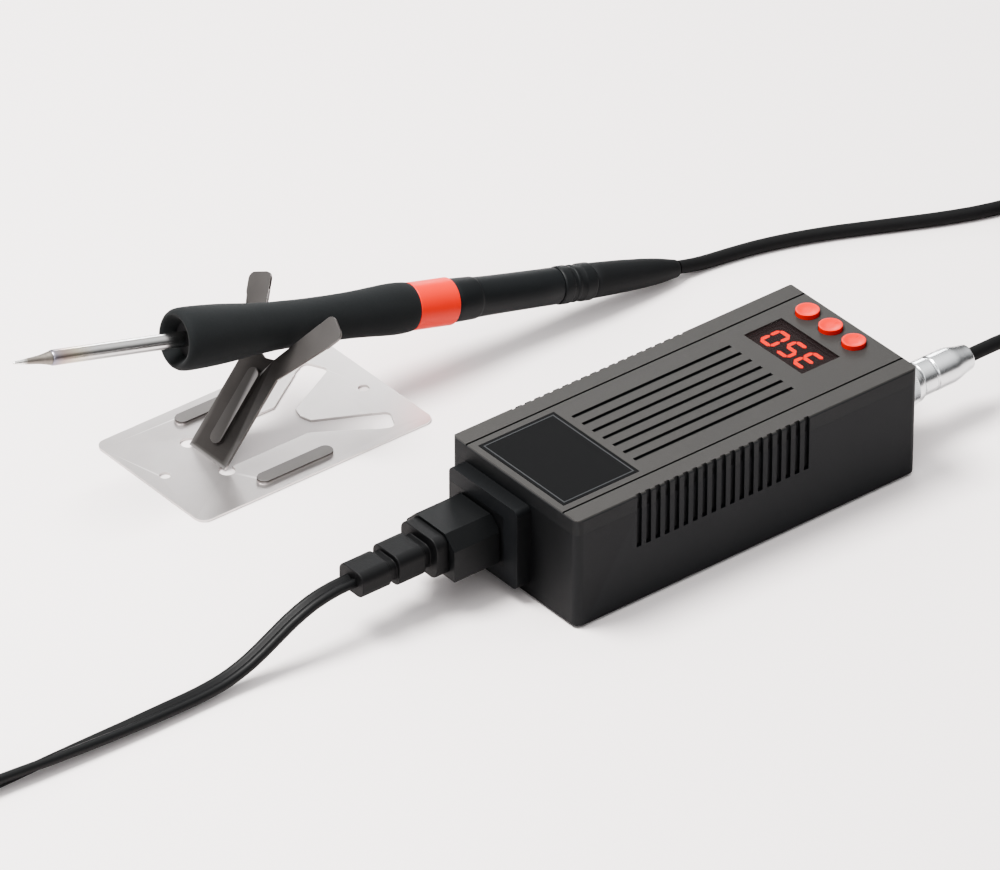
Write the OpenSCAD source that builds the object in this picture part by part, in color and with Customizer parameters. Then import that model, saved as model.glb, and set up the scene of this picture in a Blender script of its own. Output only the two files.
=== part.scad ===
// Desktop soldering station: a controller with its mains lead, a soldering iron on
// its cable, and a folded sheet-metal stand that holds the iron.
// Millimetres. The origin is under the centre of the controller, on the surface it
// stands on. +X runs along the controller to its output end, +Y to the stand, +Z up.

/* [Controller case] */
// Length of the case
case_length = 151; // [140:1:200]
// Width of the case
case_width = 68; // [64:1:100]
// Height of the case's top above the surface it stands on
case_height = 44; // [42:1:60]
// Radius of the case's vertical edges
case_corner = 3; // [1:0.5:5]
// Chamfer along the cover's top edges
cover_chamfer = 0.6; // [0.4:0.1:1.6]
// Wall thickness of both case shells
case_wall = 2.2; // [1.8:0.1:3]
// Height of the top cover's skirt
cover_depth = 6; // [5:0.5:8]
// Height of the rubber feet
foot_height = 1.2; // [0.8:0.1:2.5]
// Diameter of the rubber feet
foot_diameter = 9; // [6:0.5:12]
// Distance from the case's sides to the axis of each corner screw
screw_inset = 6.8; // [6:0.1:9]
// Thread diameter of the case screws
screw_diameter = 3; // [2.5:0.1:3.5]

/* [Case surface] */
// Number of vertical flutes along each long side
flute_count = 19; // [5:1:24]
// Distance between flutes
flute_pitch = 4.1; // [3.5:0.1:5]
// Width of a flute
flute_width = 2; // [1:0.1:2.6]
// Depth of a flute
flute_depth = 1.1; // [0.5:0.1:1.4]
// Length of a flute, down from the top edge
flute_length = 21; // [8:1:30]
// Distance from the inlet end to the first flute
flute_start = 27; // [10:1:40]
// Number of grooves along the top
groove_count = 7; // [3:1:8]
// Distance between the grooves
groove_pitch = 5.5; // [4:0.1:6]
// Width of a groove
groove_width = 1.5; // [0.8:0.1:2.5]
// Depth of a groove
groove_depth = 0.9; // [0.4:0.1:1.2]
// Distance from the inlet end to where the grooves start
groove_start = 39; // [38:1:60]
// Length of the grooves
groove_length = 70; // [20:1:74]
// Distance from each side to the long border groove
border_inset = 8; // [5:0.5:10]

/* [Label plate] */
// Size of the blank label plate along the case
label_length = 33; // [20:1:34]
// Size of the label plate across the case
label_width = 46; // [20:1:48]
// Thickness of the label plate
label_thickness = 0.6; // [0.3:0.1:1]
// Distance from the inlet end to the label plate
label_inset = 3; // [2.5:0.5:5]

/* [Display and buttons] */
// Size of the display window along the case
window_length = 17; // [14:0.5:19]
// Size of the display window across the case
window_width = 31; // [27:0.5:36]
// Thickness of the display window
window_thickness = 1.4; // [1:0.1:1.6]
// Distance from the output end to the middle of the display
display_inset = 25.5; // [22:0.5:28]
// Offset of the display and the buttons towards the stand
panel_offset = 3.5; // [0:0.5:5]
// Height of a digit
digit_height = 10.5; // [8:0.5:11]
// Width of a segment
segment_width = 1.6; // [0.8:0.1:1.8]
// Diameter of a button
button_diameter = 8.5; // [6:0.1:9]
// Distance between buttons
button_pitch = 12.3; // [11.5:0.1:14]
// Height of a button above the cover
button_rise = 1.6; // [1:0.1:2.5]
// How far a button travels
button_travel = 0.6; // [0.3:0.1:0.8]
// Gap between a button and its hole
button_clearance = 0.2; // [0.1:0.05:0.4]
// Distance from the output end to the row of buttons
button_inset = 8; // [7.8:0.1:9]

/* [Inlet and mains lead] */
// Width of the boss around the inlet
boss_width = 37; // [36:1:42]
// Height of the boss around the inlet
boss_height = 32; // [26:1:32]
// How far the boss stands out of the case
boss_depth = 6; // [4:0.5:10]
// Offset of the boss towards the stand
boss_offset = 9; // [9:0.5:11]
// Offset of the inlet towards the stand
inlet_offset = 12.5; // [6:0.5:12.5]
// Height of the inlet's and the socket's axes
port_height = 21.5; // [20:0.5:26]
// Width of the connector's nose
nose_width = 24.2; // [22:0.1:25]
// Height of the connector's nose
nose_height = 15.8; // [14:0.1:16]
// Gap around the nose in the inlet
nose_clearance = 0.25; // [0.1:0.05:0.5]
// Depth that the nose reaches into the inlet
nose_length = 16.5; // [12:0.5:18]
// Distance between the two inlet blades
blade_pitch = 14; // [12:0.5:15]
// Length of the connector's body behind its nose
connector_length = 19.5; // [14:0.5:25]
// Length of the connector's stepped strain relief
relief_length = 34; // [24:1:40]
// Width of the flat twin cord
mains_cord_width = 6.8; // [6:0.1:7.5]
// Thickness of the flat twin cord
mains_cord_thickness = 3.4; // [3:0.1:3.8]
// Mean radius of the stored mains coil
mains_coil_radius = 39; // [36:1:44]
// Radial size of the stored mains coil
mains_coil_band = 11; // [10:0.5:16]

/* [Output plug and iron cable] */
// Diameter of the socket's threaded barrel
socket_diameter = 12; // [10:0.5:14]
// Diameter of the coupling nut
nut_diameter = 15.6; // [14:0.1:18]
// Length of the coupling nut
nut_length = 13; // [10:0.5:16]
// Diameter of the plug's rear shell
shell_diameter = 13; // [11:0.5:14]
// Length of the plug's rear shell
shell_length = 24; // [18:1:30]
// How far the rear shell slides back along the cable
shell_travel = 12; // [6:1:14]
// Offset of the output socket away from the stand
socket_offset = 14; // [8:0.5:16]
// Diameter of the iron's cable
cable_diameter = 5; // [4.5:0.1:5.4]
// Mean radius of the stored iron cable
hand_coil_radius = 28; // [26:1:32]
// Radial size of the stored iron cable
hand_coil_band = 15.4; // [10:0.2:20]

/* [Soldering iron] */
// Diameter of the cartridge's tube
tube_diameter = 5.5; // [5:0.1:6]
// Length of the whole cartridge
cartridge_length = 155; // [150:1:160]
// Length of the pointed tip
tip_length = 15; // [10:1:20]
// Length of cartridge that stands out of the handle
tube_reach = 66; // [56:1:76]
// Length of the grip sleeve
grip_length = 98.5; // [94:0.5:112]
// Diameter of the handle's flared front
flare_diameter = 22; // [20:0.5:24]
// Diameter of the grip where the fork holds it
waist_diameter = 16.6; // [15.6:0.1:18]
// Diameter of the grip where it swells
swell_diameter = 18.2; // [17.5:0.1:20]
// Diameter of the coloured ring
ring_diameter = 17; // [16.2:0.1:18.5]
// Width of the coloured ring
ring_width = 17; // [12:0.5:22]
// Diameter of the rear handle behind the ring
rear_diameter = 15.6; // [15:0.1:16]
// Length of the rear handle
rear_length = 47; // [40:1:56]
// Length of the rear collar
collar_length = 14.5; // [12:0.5:18]
// Diameter of the rear collar
collar_diameter = 13.8; // [13.2:0.1:14.4]
// Length of the cable boot behind the collar
boot_length = 39; // [30:1:48]
// Distance from the grip's front to where the fork holds it
fork_station = 46; // [42:1:50]
// Running gap between the cartridge and the handle
tube_clearance = 0.06; // [0.03:0.01:0.1]
// Tilt of the resting iron, tail down
iron_tilt = 12.7; // [11:0.1:14]
// Turn of the resting iron, tail towards the controller
iron_turn = 4.5; // [0:0.5:8]

/* [Stand] */
// Length of the stand's base plate
stand_length = 102; // [96:1:120]
// Width of the stand's base plate
stand_width = 62; // [56:1:75]
// Sheet thickness
sheet = 1; // [0.8:0.1:1.2]
// Corner radius of the base plate
stand_corner = 4; // [2:0.5:8]
// Distance from the front edge to the bend line
bend_line = 26; // [22:1:28]
// Angle of the fork above the plate
fork_angle = 50; // [45:1:60]
// Width of the fork's stem
stem_width = 20; // [18:0.5:22]
// Length of the fork along the sheet, from the bend to its tips
fork_length = 65; // [63:0.5:67]
// Diameter of the fixing holes
fixing_hole = 4; // [3:0.1:5]
// Distance from each end of the plate to its fixing hole
fixing_inset = 7.5; // [6:0.5:10]

/* [Hidden] */
$fn = 64;
eps = 0.01;

// Case levels and places
case_base = foot_height;
case_floor = case_base + case_wall;
seam = case_height - cover_depth;
ceiling = case_height - case_wall;
end_x = case_length / 2;
side_y = case_width / 2;
screw_x = end_x - screw_inset;
screw_y = side_y - screw_inset;
post_diameter = screw_diameter + 4;
post_gap = 0.6;
post_split = case_base + 26;
screw_head = screw_diameter * 1.9;
lap = 2.4;
lap_wall = case_wall / 2;
lap_gap = 0.1;

// Places on the cover
window_x = end_x - display_inset;
button_x = end_x - button_inset;
window_step = 1;
module_gap = 0.3;
module_length = window_length - 2 * window_step - 2 * module_gap;
module_width = window_width - 2 * window_step - 2 * module_gap;
module_top = case_height - window_thickness - 0.2;
module_height = 8;
board_thickness = 1.6;
control_top = module_top - module_height;
control_bottom = control_top - board_thickness;
control_length = 43;
control_width = 45;
control_x = end_x - 4 - control_length / 2;
control_holes_x = [-17, 8];
control_hole_y = 20;
control_shift = 1;
flange_diameter = button_diameter + 1.6;
flange_top = ceiling - 0.3;
flange_thickness = 1;
switch_height = 3.5;
plunger_diameter = 3.4;
plunger_rise = 0.9;
small_screw = 2.2;

// Seven-segment digits. The bars are in the order top, upper right, lower right, bottom,
// lower left, upper left, middle; each is [across, up, turned], in half digit widths and
// heights. The reading is three digits of lit and unlit bars
bars = [[0, 1, 0], [1, 0.5, 1], [1, -0.5, 1], [0, -1, 0], [-1, -0.5, 1], [-1, 0.5, 1],
    [0, 0, 0]];
reading = [[1, 1, 1, 1, 0, 0, 1], [1, 0, 1, 1, 0, 1, 1], [1, 1, 1, 1, 1, 1, 0]];
digit_half = (digit_height - segment_width) / 2;
digit_span = digit_half * 0.6;
digit_pitch = 8.8;
segment_rise = 0.15;
bar_gap = 0.3;

// Power board, inset from the case's ends and sides, and what stands on it
power_standoff = 5;
power_top = case_floor + power_standoff + board_thickness;
power_length = case_length - 47;
power_width = case_width - 12;
power_hole_x = power_length / 2 - 4;
power_hole_y = power_width / 2 - 4;
core_length = 28;
core_width = 26;
core_height = 21;
core_x = 4;
winding_length = core_length - 10;
winding_step = 3;
winding_gap = 3;
main_capacitor = [-23, -16];
main_capacitor_size = [16, 25];
small_capacitor_x = power_length / 2 - 7;
small_capacitor_y = [-13, -1];
small_capacitor_size = [10, 16];
choke_place = [-42, -11];
choke_bore = 9;
choke_section = [5, 9];
film_place = [-36, 9];
film_size = [8, 17, 9];
fuse_place = [-30, 22];
fuse_diameter = 5;
fuse_length = 14;
fuse_lift = 3.4;
fin_thickness = 1.2;
fin_depth = 4.1;
sink_thickness = 2;
sink_y = 22;
left_sink = [-2, 26, 24, 5];
right_sink = [22, 28, 18, 6];
transistor = [10, 4.4, 15];
transistor_y = 18.8;
bridge_place = [-46, 9];
bridge_size = [4, 14, 10];
ribbon_size = [1.2, 14];

// Places of the feet, in from the ends and the sides
foot_inset_x = 19;
foot_inset_y = 9;

// Inlet, connector and mains lead
inlet_y = inlet_offset;
boss_face = -end_x - boss_depth;
inlet_wall = 2;
inlet_back = 3;
inlet_width = nose_width + 2 * nose_clearance + 2 * inlet_wall;
inlet_height = nose_height + 2 * nose_clearance + 2 * inlet_wall;
inlet_length = nose_length + 0.6 + inlet_back;
blade_width = 2;
blade_height = 4;
blade_reach = nose_length - 1;
nose_corner = 3.5;

// The corner screws, the one beside the inlet set back behind it
screws = [[-screw_x, -screw_y], [screw_x, -screw_y], [screw_x, screw_y],
    [boss_face + inlet_length + post_diameter / 2 + post_gap, screw_y]];
connector_rear = boss_face - 0.4 - connector_length;
// Steps of the strain relief: reach behind the connector, length, width, height and corner
relief_steps = [[5, 5, 20, 15.5, 4], [8, 3.1, 13, 9, 3], [19, 11.1, 15, 11.5, 3.5],
    [22, 3.1, 12, 8, 3], [relief_length, relief_length - 21.9, 13.4, 9.6, 3.5]];

// Output socket and plug
socket_y = -socket_offset;
socket_flange = 2;
barrel_reach = 9;
insert_diameter = 10.4;
nut_start = end_x + socket_flange + 0.4;
shell_start = nut_start + nut_length + 0.4;
shell_end = shell_start + shell_length;
clamp_length = 5;

// Soldering iron, measured along its axis from the point of the tip
grip_start = tube_reach;
fork_point = grip_start + fork_station;
ring_start = grip_start + grip_length;
ring_end = ring_start + ring_width;
rear_end = ring_end + rear_length;
collar_end = rear_end + collar_length;
boot_end = collar_end + boot_length;
core_diameter = 12;
core_bore = tube_diameter + 2 * tube_clearance;
carrier_start = cartridge_length - 18;
carrier_length = 26;
rear_bore = 10;
sleeve_overlap = 6;
recess_depth = 5;
nose_depth = 6;

// Fork, along the sheet from the bend: the crotch of its V and the tips of its prongs
crotch = 40.5;
crotch_half = 4.4;
prong_width = 9.4;
prong_end = 6;
prong_pad = 9.2;
prong_corner = 2.5;
prong_tip_t = fork_length - prong_end;
prong_tip_w = 19;
prong_inner_t = prong_tip_t + 2;
prong_inner_w = prong_tip_w - prong_width / 2;
relief_hole = 6;
rib_height = 1.2;
rib_width = 5.6;

// The handle is a slanted round section in the V, clear of the edges by rest_gap
rest_gap = 0.35;
v_half = atan((prong_inner_w - crotch_half) / (prong_inner_t - crotch - 1.2));
v_apex = crotch + 1.2 - crotch_half / tan(v_half);
meeting = fork_angle + iron_tilt;
reach = norm([waist_diameter / 2 / sin(meeting) * sin(v_half), waist_diameter / 2 * cos(v_half)]);
fork_rest_t = v_apex + (reach + rest_gap) / sin(v_half) + sheet / tan(meeting);

// Stand plate, and the point where the fork carries the handle's axis
stand_x = -136;
stand_y = 95;
stand_middle = stand_y + stand_width / 2;
bend_x = stand_x + bend_line;
axis_x = bend_x + fork_rest_t * cos(fork_angle);
axis_z = sheet + fork_rest_t * sin(fork_angle);

// Stored coils
mains_coil_centre = [-340, 60];
mains_coil_height = 13.8;
hand_coil_centre = [228, 38];
hand_coil_height = 10.2;

// Plug: its sizes, and where it lies, by the middle of its rear end
plug_length = 36;
plug_half = 17.6;
plug_height = 13.7;
plug_pin_diameter = 4;
plug_pin_length = 19;
plug_pin_pitch = 18.6;
plug_place = [-385, 105, 0];

// Routes of the cords' centres: from the strain relief to the coil, from the coil to
// the plug, from the boot to the coil, and from the output plug to the coil
mains_route = [[-135.4, 12.5, 21.5], [-143, 12.5, 21.3], [-152, 12.5, 19.8],
    [-161, 12.5, 16.4], [-170, 12.4, 11.8], [-179, 12.2, 7.6], [-189, 12, 4.8],
    [-200, 11.8, 3.8], [-213, 11.8, 3.7], [-228, 12, 3.7], [-244, 12.5, 3.7],
    [-261, 13.2, 3.7], [-279, 14.1, 3.7], [-298, 15, 3.7], [-318, 15.8, 3.7],
    [-340, 16, 3.7]];
plug_tail = [[-384, 60, 10.2], [-384.1, 68, 10], [-384.3, 77, 9.2],
    [-384.6, 86, 8.1], [-384.9, 95, 7.2], [-385, 105, 6.9]];
iron_route = [[90.4, 112.9, 4.4], [97, 112.2, 3.2], [104, 111.4, 2.6],
    [113, 110, 2.5], [124, 107.6, 2.5], [136, 103.9, 2.5], [149, 98.8, 2.5],
    [162, 92.7, 2.5], [175, 86.4, 2.5], [188, 80.4, 2.5], [201, 75.4, 2.5],
    [214, 72.1, 2.5], [228, 71, 2.6]];
plug_route = [[98.9, -14, 21.5], [110, -14, 21.5], [121, -14, 21.5],
    [131, -14, 21.4], [140, -13.6, 20.2], [149, -12.8, 16.8], [158, -11.4, 12],
    [167, -9.4, 7.4], [177, -6.8, 4.4], [188, -3.4, 4], [199, 0, 5],
    [213, 3.6, 6.8], [228, 5, 7.6]];

// Shared shapes
module round_rect(l, w, r) {
    square([l - 2 * r, w], center = true);
    square([l, w - 2 * r], center = true);
    for (x = [-1, 1], y = [-1, 1]) translate([x * (l / 2 - r), y * (w / 2 - r)]) circle(r);
}

module block(l, w, h, r) linear_extrude(h) round_rect(l, w, r);

module box(x, y, z, l, w, h) translate([x - l / 2, y - w / 2, z]) cube([l, w, h]);

module rod(x, y, z, d, h) translate([x, y, z]) cylinder(d = d, h = h);

module rod_x(x, y, z, d, l) translate([x, y, z]) rotate([0, 90, 0]) cylinder(d = d, h = l);

module four(x, y) for (i = [-1, 1], j = [-1, 1]) translate([i * x, j * y, 0]) children();

module stadium(l, w) {
    square([l - w, w], center = true);
    for (x = [-1, 1]) translate([x * (l - w) / 2, 0]) circle(d = w);
}

// A case block whose top edges are chamfered
module chamfered(l, w, h, r, c) intersection() {
    block(l, w, h, r);
    rotate([90, 0, 90]) translate([0, 0, -l / 2 - 1]) linear_extrude(l + 2)
        polygon([[-w / 2, 0], [w / 2, 0], [w / 2, h - c], [w / 2 - c, h],
            [c - w / 2, h], [-w / 2, h - c]]);
    rotate([90, 0, 0]) translate([0, 0, -w / 2 - 1]) linear_extrude(w + 2)
        polygon([[-l / 2, 0], [l / 2, 0], [l / 2, h - c], [l / 2 - c, h],
            [c - l / 2, h], [-l / 2, h - c]]);
}

// Connector outline, looking along X: a rectangle with its two upper corners cut off
module nose_outline(w, h, c) polygon([[-w / 2, -h / 2], [w / 2, -h / 2],
    [w / 2, h / 2 - c], [w / 2 - c, h / 2], [c - w / 2, h / 2], [-w / 2, h / 2 - c]]);

module along_x(x, y, z, l) translate([x, y, z]) rotate([90, 0, 90]) linear_extrude(l)
    children();

// The iron's own frame: X runs from the tip to the tail, with the point at the start
module iron_frame() translate([axis_x, stand_middle, axis_z])
    rotate([0, iron_tilt, -iron_turn]) translate([-fork_point, 0, 0]) children();

module turned(profile) rotate([90, 0, 90]) rotate_extrude() polygon(profile);

// Tube swept along a route: n points across, w wide and h high, rolled on its side by
// roll degrees along its last third
function unit(v) = v / norm(v);
function heading(p, i) = unit(p[min(i + 1, len(p) - 1)] - p[max(i - 1, 0)]);
function rolled(i, n, roll) = roll * max(0, (3 * i / (n - 1) - 1) / 2);
function ring(p, i, w, h, n, roll) = let (
    t = heading(p, i), s = unit(cross([0, 0, 1], t)), u = cross(t, s),
    a = rolled(i, len(p), roll), sa = cos(a) * s + sin(a) * u, ua = cos(a) * u - sin(a) * s)
    [for (k = [0 : n - 1]) p[i] + cos(360 * k / n) * w / 2 * sa + sin(360 * k / n) * h / 2 * ua];

module sweep(p, w, h, n, roll = 0) {
    m = len(p);
    points = [for (i = [0 : m - 1]) each ring(p, i, w, h, n, roll)];
    sides = [for (i = [0 : m - 2], k = [0 : n - 1]) let (
        a = i * n + k, b = i * n + (k + 1) % n) each [[a, b, b + n], [a, b + n, a + n]]];
    ends = [[for (k = [n - 1 : -1 : 0]) k], [for (k = [0 : n - 1]) (m - 1) * n + k]];
    polyhedron(points, concat([for (f = sides) [f[2], f[1], f[0]]],
        [for (f = ends) [for (k = [len(f) - 1 : -1 : 0]) f[k]]]));
}

module coil(centre, radius, band, height) translate([centre[0], centre[1], 0])
    rotate_extrude($fn = 96) translate([radius - band / 2, 0]) square([band, height]);

// Flutes cut down both long sides from the top edge
module flutes() for (i = [0 : flute_count - 1], j = [-1, 1])
    box(-end_x + flute_start + i * flute_pitch, j * side_y, case_height - flute_length,
        flute_width, 2 * flute_depth, flute_length + 1);

module at_screws() for (p = screws) translate(p) children();

module case_posts(from, to) at_screws() rod(0, 0, from, post_diameter, to - from);

module at_control_holes() for (x = control_holes_x, j = [-1, 1])
    translate([control_x + x, control_shift + j * control_hole_y]) children();

// Controller case
module bottom_shell() color("#1b1d20") difference() {
    union() {
        difference() {
            union() {
                translate([0, 0, case_base])
                    block(case_length, case_width, seam - case_base, case_corner);
                translate([0, 0, seam]) block(case_length - 2 * (lap_wall + lap_gap),
                    case_width - 2 * (lap_wall + lap_gap), lap, case_corner - lap_wall);
            }
            translate([0, 0, case_floor]) block(case_length - 2 * case_wall,
                case_width - 2 * case_wall, case_height, 1);
        }
        along_x(boss_face, boss_offset, port_height, boss_depth + case_wall)
            round_rect(boss_width, boss_height, 2.5);
        case_posts(case_base + eps, post_split);
        four(power_hole_x, power_hole_y)
            rod(0, 0, case_floor - eps, small_screw + 4, power_standoff);
    }
    along_x(boss_face - 1, inlet_y, port_height, boss_depth + case_wall + 2)
        square([inlet_width, inlet_height], center = true);
    rod_x(end_x - case_wall - 1, socket_y, port_height, socket_diameter + 0.2,
        case_wall + 2);
    at_screws() rod(0, 0, case_base - 1, screw_diameter + 0.4, case_height);
    at_screws() rod(0, 0, case_base - 1, screw_head + 0.6, 4);
    four(power_hole_x, power_hole_y)
        rod(0, 0, case_floor, small_screw * 0.8, power_standoff + 1);
    flutes();
}

module top_cover() color("#3a3d40") difference() {
    union() {
        difference() {
            translate([0, 0, seam])
                chamfered(case_length, case_width, cover_depth, case_corner, cover_chamfer);
            translate([0, 0, seam - 1]) block(case_length - 2 * case_wall,
                case_width - 2 * case_wall, ceiling - seam + 1, 1);
            translate([0, 0, seam - 1]) block(case_length - 2 * lap_wall,
                case_width - 2 * lap_wall, lap + 1 + lap_gap, case_corner - lap_wall);
        }
        case_posts(post_split, ceiling + eps);
        at_control_holes() rod(0, 0, control_top, small_screw + 2.6, ceiling - control_top + eps);
    }
    at_screws() rod(0, 0, post_split - 1, screw_diameter * 0.8, 12);
    at_control_holes() rod(0, 0, control_top - 1, small_screw * 0.8, 7);
    box(-end_x + label_inset + label_length / 2, 0, case_height - label_thickness,
        label_length, label_width, 2);
    box(window_x, panel_offset, case_height - window_thickness,
        window_length, window_width, 3);
    box(window_x, panel_offset, ceiling - 1,
        window_length - 2 * window_step, window_width - 2 * window_step, case_wall + 2);
    for (i = [-1 : 1]) rod(button_x, panel_offset + i * button_pitch, ceiling - 1,
        button_diameter + 2 * button_clearance, case_wall + 2);
    for (i = [0 : groove_count - 1])
        box(-end_x + groove_start + groove_length / 2,
            (i - (groove_count - 1) / 2) * groove_pitch, case_height - groove_depth,
            groove_length, groove_width, 2);
    for (j = [-1, 1]) box(0, j * (side_y - border_inset), case_height - groove_depth / 2,
        case_length + 2, groove_width / 2, 2);
    flutes();
}

module label_plate() color("#0b0b0c")
    box(-end_x + label_inset + label_length / 2, 0, case_height - label_thickness,
        label_length - 0.2, label_width - 0.2, label_thickness);

module case_screws() color("silver") at_screws() {
    rod(0, 0, case_base + 3 - screw_diameter * 0.6, screw_head, screw_diameter * 0.6);
    rod(0, 0, case_base + 3 - eps, screw_diameter * 0.8, post_split - case_base + 6);
}

module rubber_feet() color("#101010") four(end_x - foot_inset_x, side_y - foot_inset_y)
    rod(0, 0, 0, foot_diameter, foot_height);

// Display
module display_window() color("#1a0405")
    box(window_x, panel_offset, case_height - window_thickness,
        window_length - 0.2, window_width - 0.2, window_thickness - 0.2);

module display_module() color("#141414")
    box(window_x, panel_offset, control_top, module_length, module_width, module_height);

// One bar of a seven-segment digit, pointed at both ends
module bar(l, w) linear_extrude(segment_rise) polygon([[-l / 2, 0], [(w - l) / 2, w / 2],
    [(l - w) / 2, w / 2], [l / 2, 0], [(l - w) / 2, -w / 2], [(w - l) / 2, -w / 2]]);

// The digits are read from the output end, so they stand across the case
module display_segments() color("#ff3020")
    translate([window_x, panel_offset, module_top]) rotate([0, 0, 90])
        for (d = [0 : 2], s = [0 : 6]) if (reading[d][s] == 1)
            translate([(d - 1) * digit_pitch + bars[s][0] * digit_span,
                bars[s][1] * digit_half, 0]) rotate([0, 0, 90 * bars[s][2]])
                bar((bars[s][2] == 1 ? digit_half : 2 * digit_span) - bar_gap, segment_width);

module control_board() color("#1f5a32") difference() {
    box(control_x, control_shift, control_bottom, control_length, control_width, board_thickness);
    at_control_holes() rod(0, 0, control_bottom - 1, small_screw + 0.4, board_thickness + 2);
}

module control_chip() color("#111214") {
    box(control_x - 6, control_shift, control_bottom - 1, 7, 7, 1);
    box(control_x + 8, control_shift + 12, control_bottom - 1.4, 5, 4, 1.4);
    box(control_x + 8, control_shift - 10, control_bottom - 1.4, 5, 4, 1.4);
}

module tact_switches() color("#26282a") for (i = [-1 : 1]) difference() {
    box(button_x, panel_offset + i * button_pitch, control_top, 6, 6, switch_height);
    rod(button_x, panel_offset + i * button_pitch, control_top + 1.5,
        plunger_diameter + 0.2, switch_height);
}

// A cap with its flange under the cover and a stem down to the switch, and the plunger
module button(i) translate([button_x, panel_offset + i * button_pitch, 0]) {
    rod(0, 0, flange_top - eps, button_diameter, case_height + button_rise - flange_top);
    rod(0, 0, flange_top - flange_thickness, flange_diameter, flange_thickness);
    rod(0, 0, control_top + switch_height + plunger_rise, plunger_diameter - 0.4,
        flange_top - flange_thickness - control_top - switch_height - plunger_rise + eps);
    rod(0, 0, control_top + 1.5 + button_travel + 0.1, plunger_diameter,
        switch_height + plunger_rise - 1.6 - button_travel);
}

module button_minus() color("#c8281e") button(-1);

module button_plus() color("#c8281e") button(0);

module button_set() color("#c8281e") button(1);

module board_screws() color("silver") {
    at_control_holes() {
        rod(0, 0, control_bottom - 1.4, small_screw * 1.8, 1.4);
        rod(0, 0, control_bottom - eps, small_screw * 0.8, board_thickness + 4);
    }
    four(power_hole_x, power_hole_y) {
        rod(0, 0, power_top, small_screw * 1.8, 1.4);
        rod(0, 0, power_top - board_thickness - 4, small_screw * 0.8, board_thickness + 4 + eps);
    }
}

module control_ribbon() color("#b9b2a0")
    box(control_x - 16, control_shift + 4, power_top, ribbon_size[0], ribbon_size[1],
        control_bottom - power_top);

// Power supply
module power_board() color("#2d6a3a") difference() {
    box(0, 0, power_top - board_thickness, power_length, power_width, board_thickness);
    four(power_hole_x, power_hole_y)
        rod(0, 0, power_top - board_thickness - 1, small_screw + 0.4, board_thickness + 2);
}

// The core has a window either side of its middle leg
module transformer_core() color("#2a2a2c") difference() {
    box(core_x, 0, power_top, core_length, core_width, core_height);
    for (x = [-1, 1]) box(core_x + x * (winding_length + 3 * winding_step) / 4, 0,
        power_top + winding_step, (winding_length - winding_step) / 2, core_width + 2,
        core_height - 2 * winding_step);
}

// The winding fills the windows, with a slit beside the outer legs
module transformer_winding() color("#d8c23c") difference() {
    box(core_x, 0, power_top + winding_step, winding_length + winding_gap, core_width + 4,
        core_height - 2 * winding_step);
    box(core_x, 0, power_top + winding_step - 1, 2 * winding_gap, core_width + 6, core_height);
    for (x = [-1, 1]) box(core_x + x * (winding_length / 2 + 2), 0,
        power_top + winding_step - 1, 1, core_width + 6, core_height);
}

module electrolytic_capacitors() color("#20242c") {
    rod(main_capacitor[0], main_capacitor[1], power_top, main_capacitor_size[0],
        main_capacitor_size[1]);
    for (y = small_capacitor_y) rod(small_capacitor_x, y, power_top,
        small_capacitor_size[0], small_capacitor_size[1]);
}

module filter_choke() color("#7a4a22")
    translate([choke_place[0], choke_place[1], power_top])
        rotate_extrude() translate([choke_bore / 2, 0]) square(choke_section);

module film_capacitor() color("#d8b020")
    box(film_place[0], film_place[1], power_top, film_size[0], film_size[1], film_size[2]);

// Glass tube with a cap and a clip at each end
module line_fuse() color("#d9d9d6") {
    rod_x(fuse_place[0], fuse_place[1], power_top + fuse_lift, fuse_diameter, fuse_length);
    for (x = [fuse_place[0] - 4, fuse_place[0] + fuse_length]) {
        rod_x(x, fuse_place[1], power_top + fuse_lift, fuse_diameter + 0.6, 4);
        box(x + 2, fuse_place[1], power_top, 1.2, fuse_diameter, 1.2);
    }
}

// A plate with five fins towards the case's wall; size is [middle, length, height, pitch]
module heat_sink(size, side) {
    box(size[0], side * sink_y, power_top, size[1], sink_thickness, size[2]);
    for (i = [-2 : 2]) box(size[0] + i * size[3], side * (sink_y + 3), power_top,
        fin_thickness, fin_depth, size[2]);
}

module heat_sinks() color("#9aa0a4") {
    heat_sink(left_sink, -1);
    heat_sink(right_sink, 1);
}

module power_semiconductors() color("#161719") {
    for (x = [-6, 7]) box(left_sink[0] + x, -transistor_y, power_top + 4,
        transistor[0], transistor[1], transistor[2]);
    for (x = [-6, 6]) box(right_sink[0] + x, transistor_y, power_top + 1,
        transistor[0], transistor[1], transistor[2]);
    box(bridge_place[0], bridge_place[1], power_top, bridge_size[0], bridge_size[1],
        bridge_size[2]);
}

// Inlet and output socket
module mains_inlet() color("#141516") difference() {
    along_x(boss_face, inlet_y, port_height, inlet_length)
        square([inlet_width - 0.1, inlet_height - 0.1], center = true);
    along_x(boss_face - 1, inlet_y, port_height, inlet_length - inlet_back + 1)
        nose_outline(nose_width + 2 * nose_clearance, nose_height + 2 * nose_clearance,
            nose_corner);
    for (j = [-1, 1]) box(boss_face + inlet_length - 2, inlet_y + j * blade_pitch / 2,
        port_height - blade_height / 2, inlet_back + 4, blade_width, blade_height);
}

module inlet_blades() color("#c9c6b8") for (j = [-1, 1])
    box(boss_face + inlet_length / 2 + 3, inlet_y + j * blade_pitch / 2,
        port_height - blade_height / 2, inlet_length + 4, blade_width, blade_height);

module output_socket() color("#c9ccce") difference() {
    union() {
        rod_x(end_x, socket_y, port_height, socket_diameter + 4, socket_flange);
        rod_x(end_x - 9, socket_y, port_height, socket_diameter, 9 + barrel_reach);
    }
    rod_x(end_x + 1, socket_y, port_height, socket_diameter - 3, barrel_reach);
    contact_pins(1);
}

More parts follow.
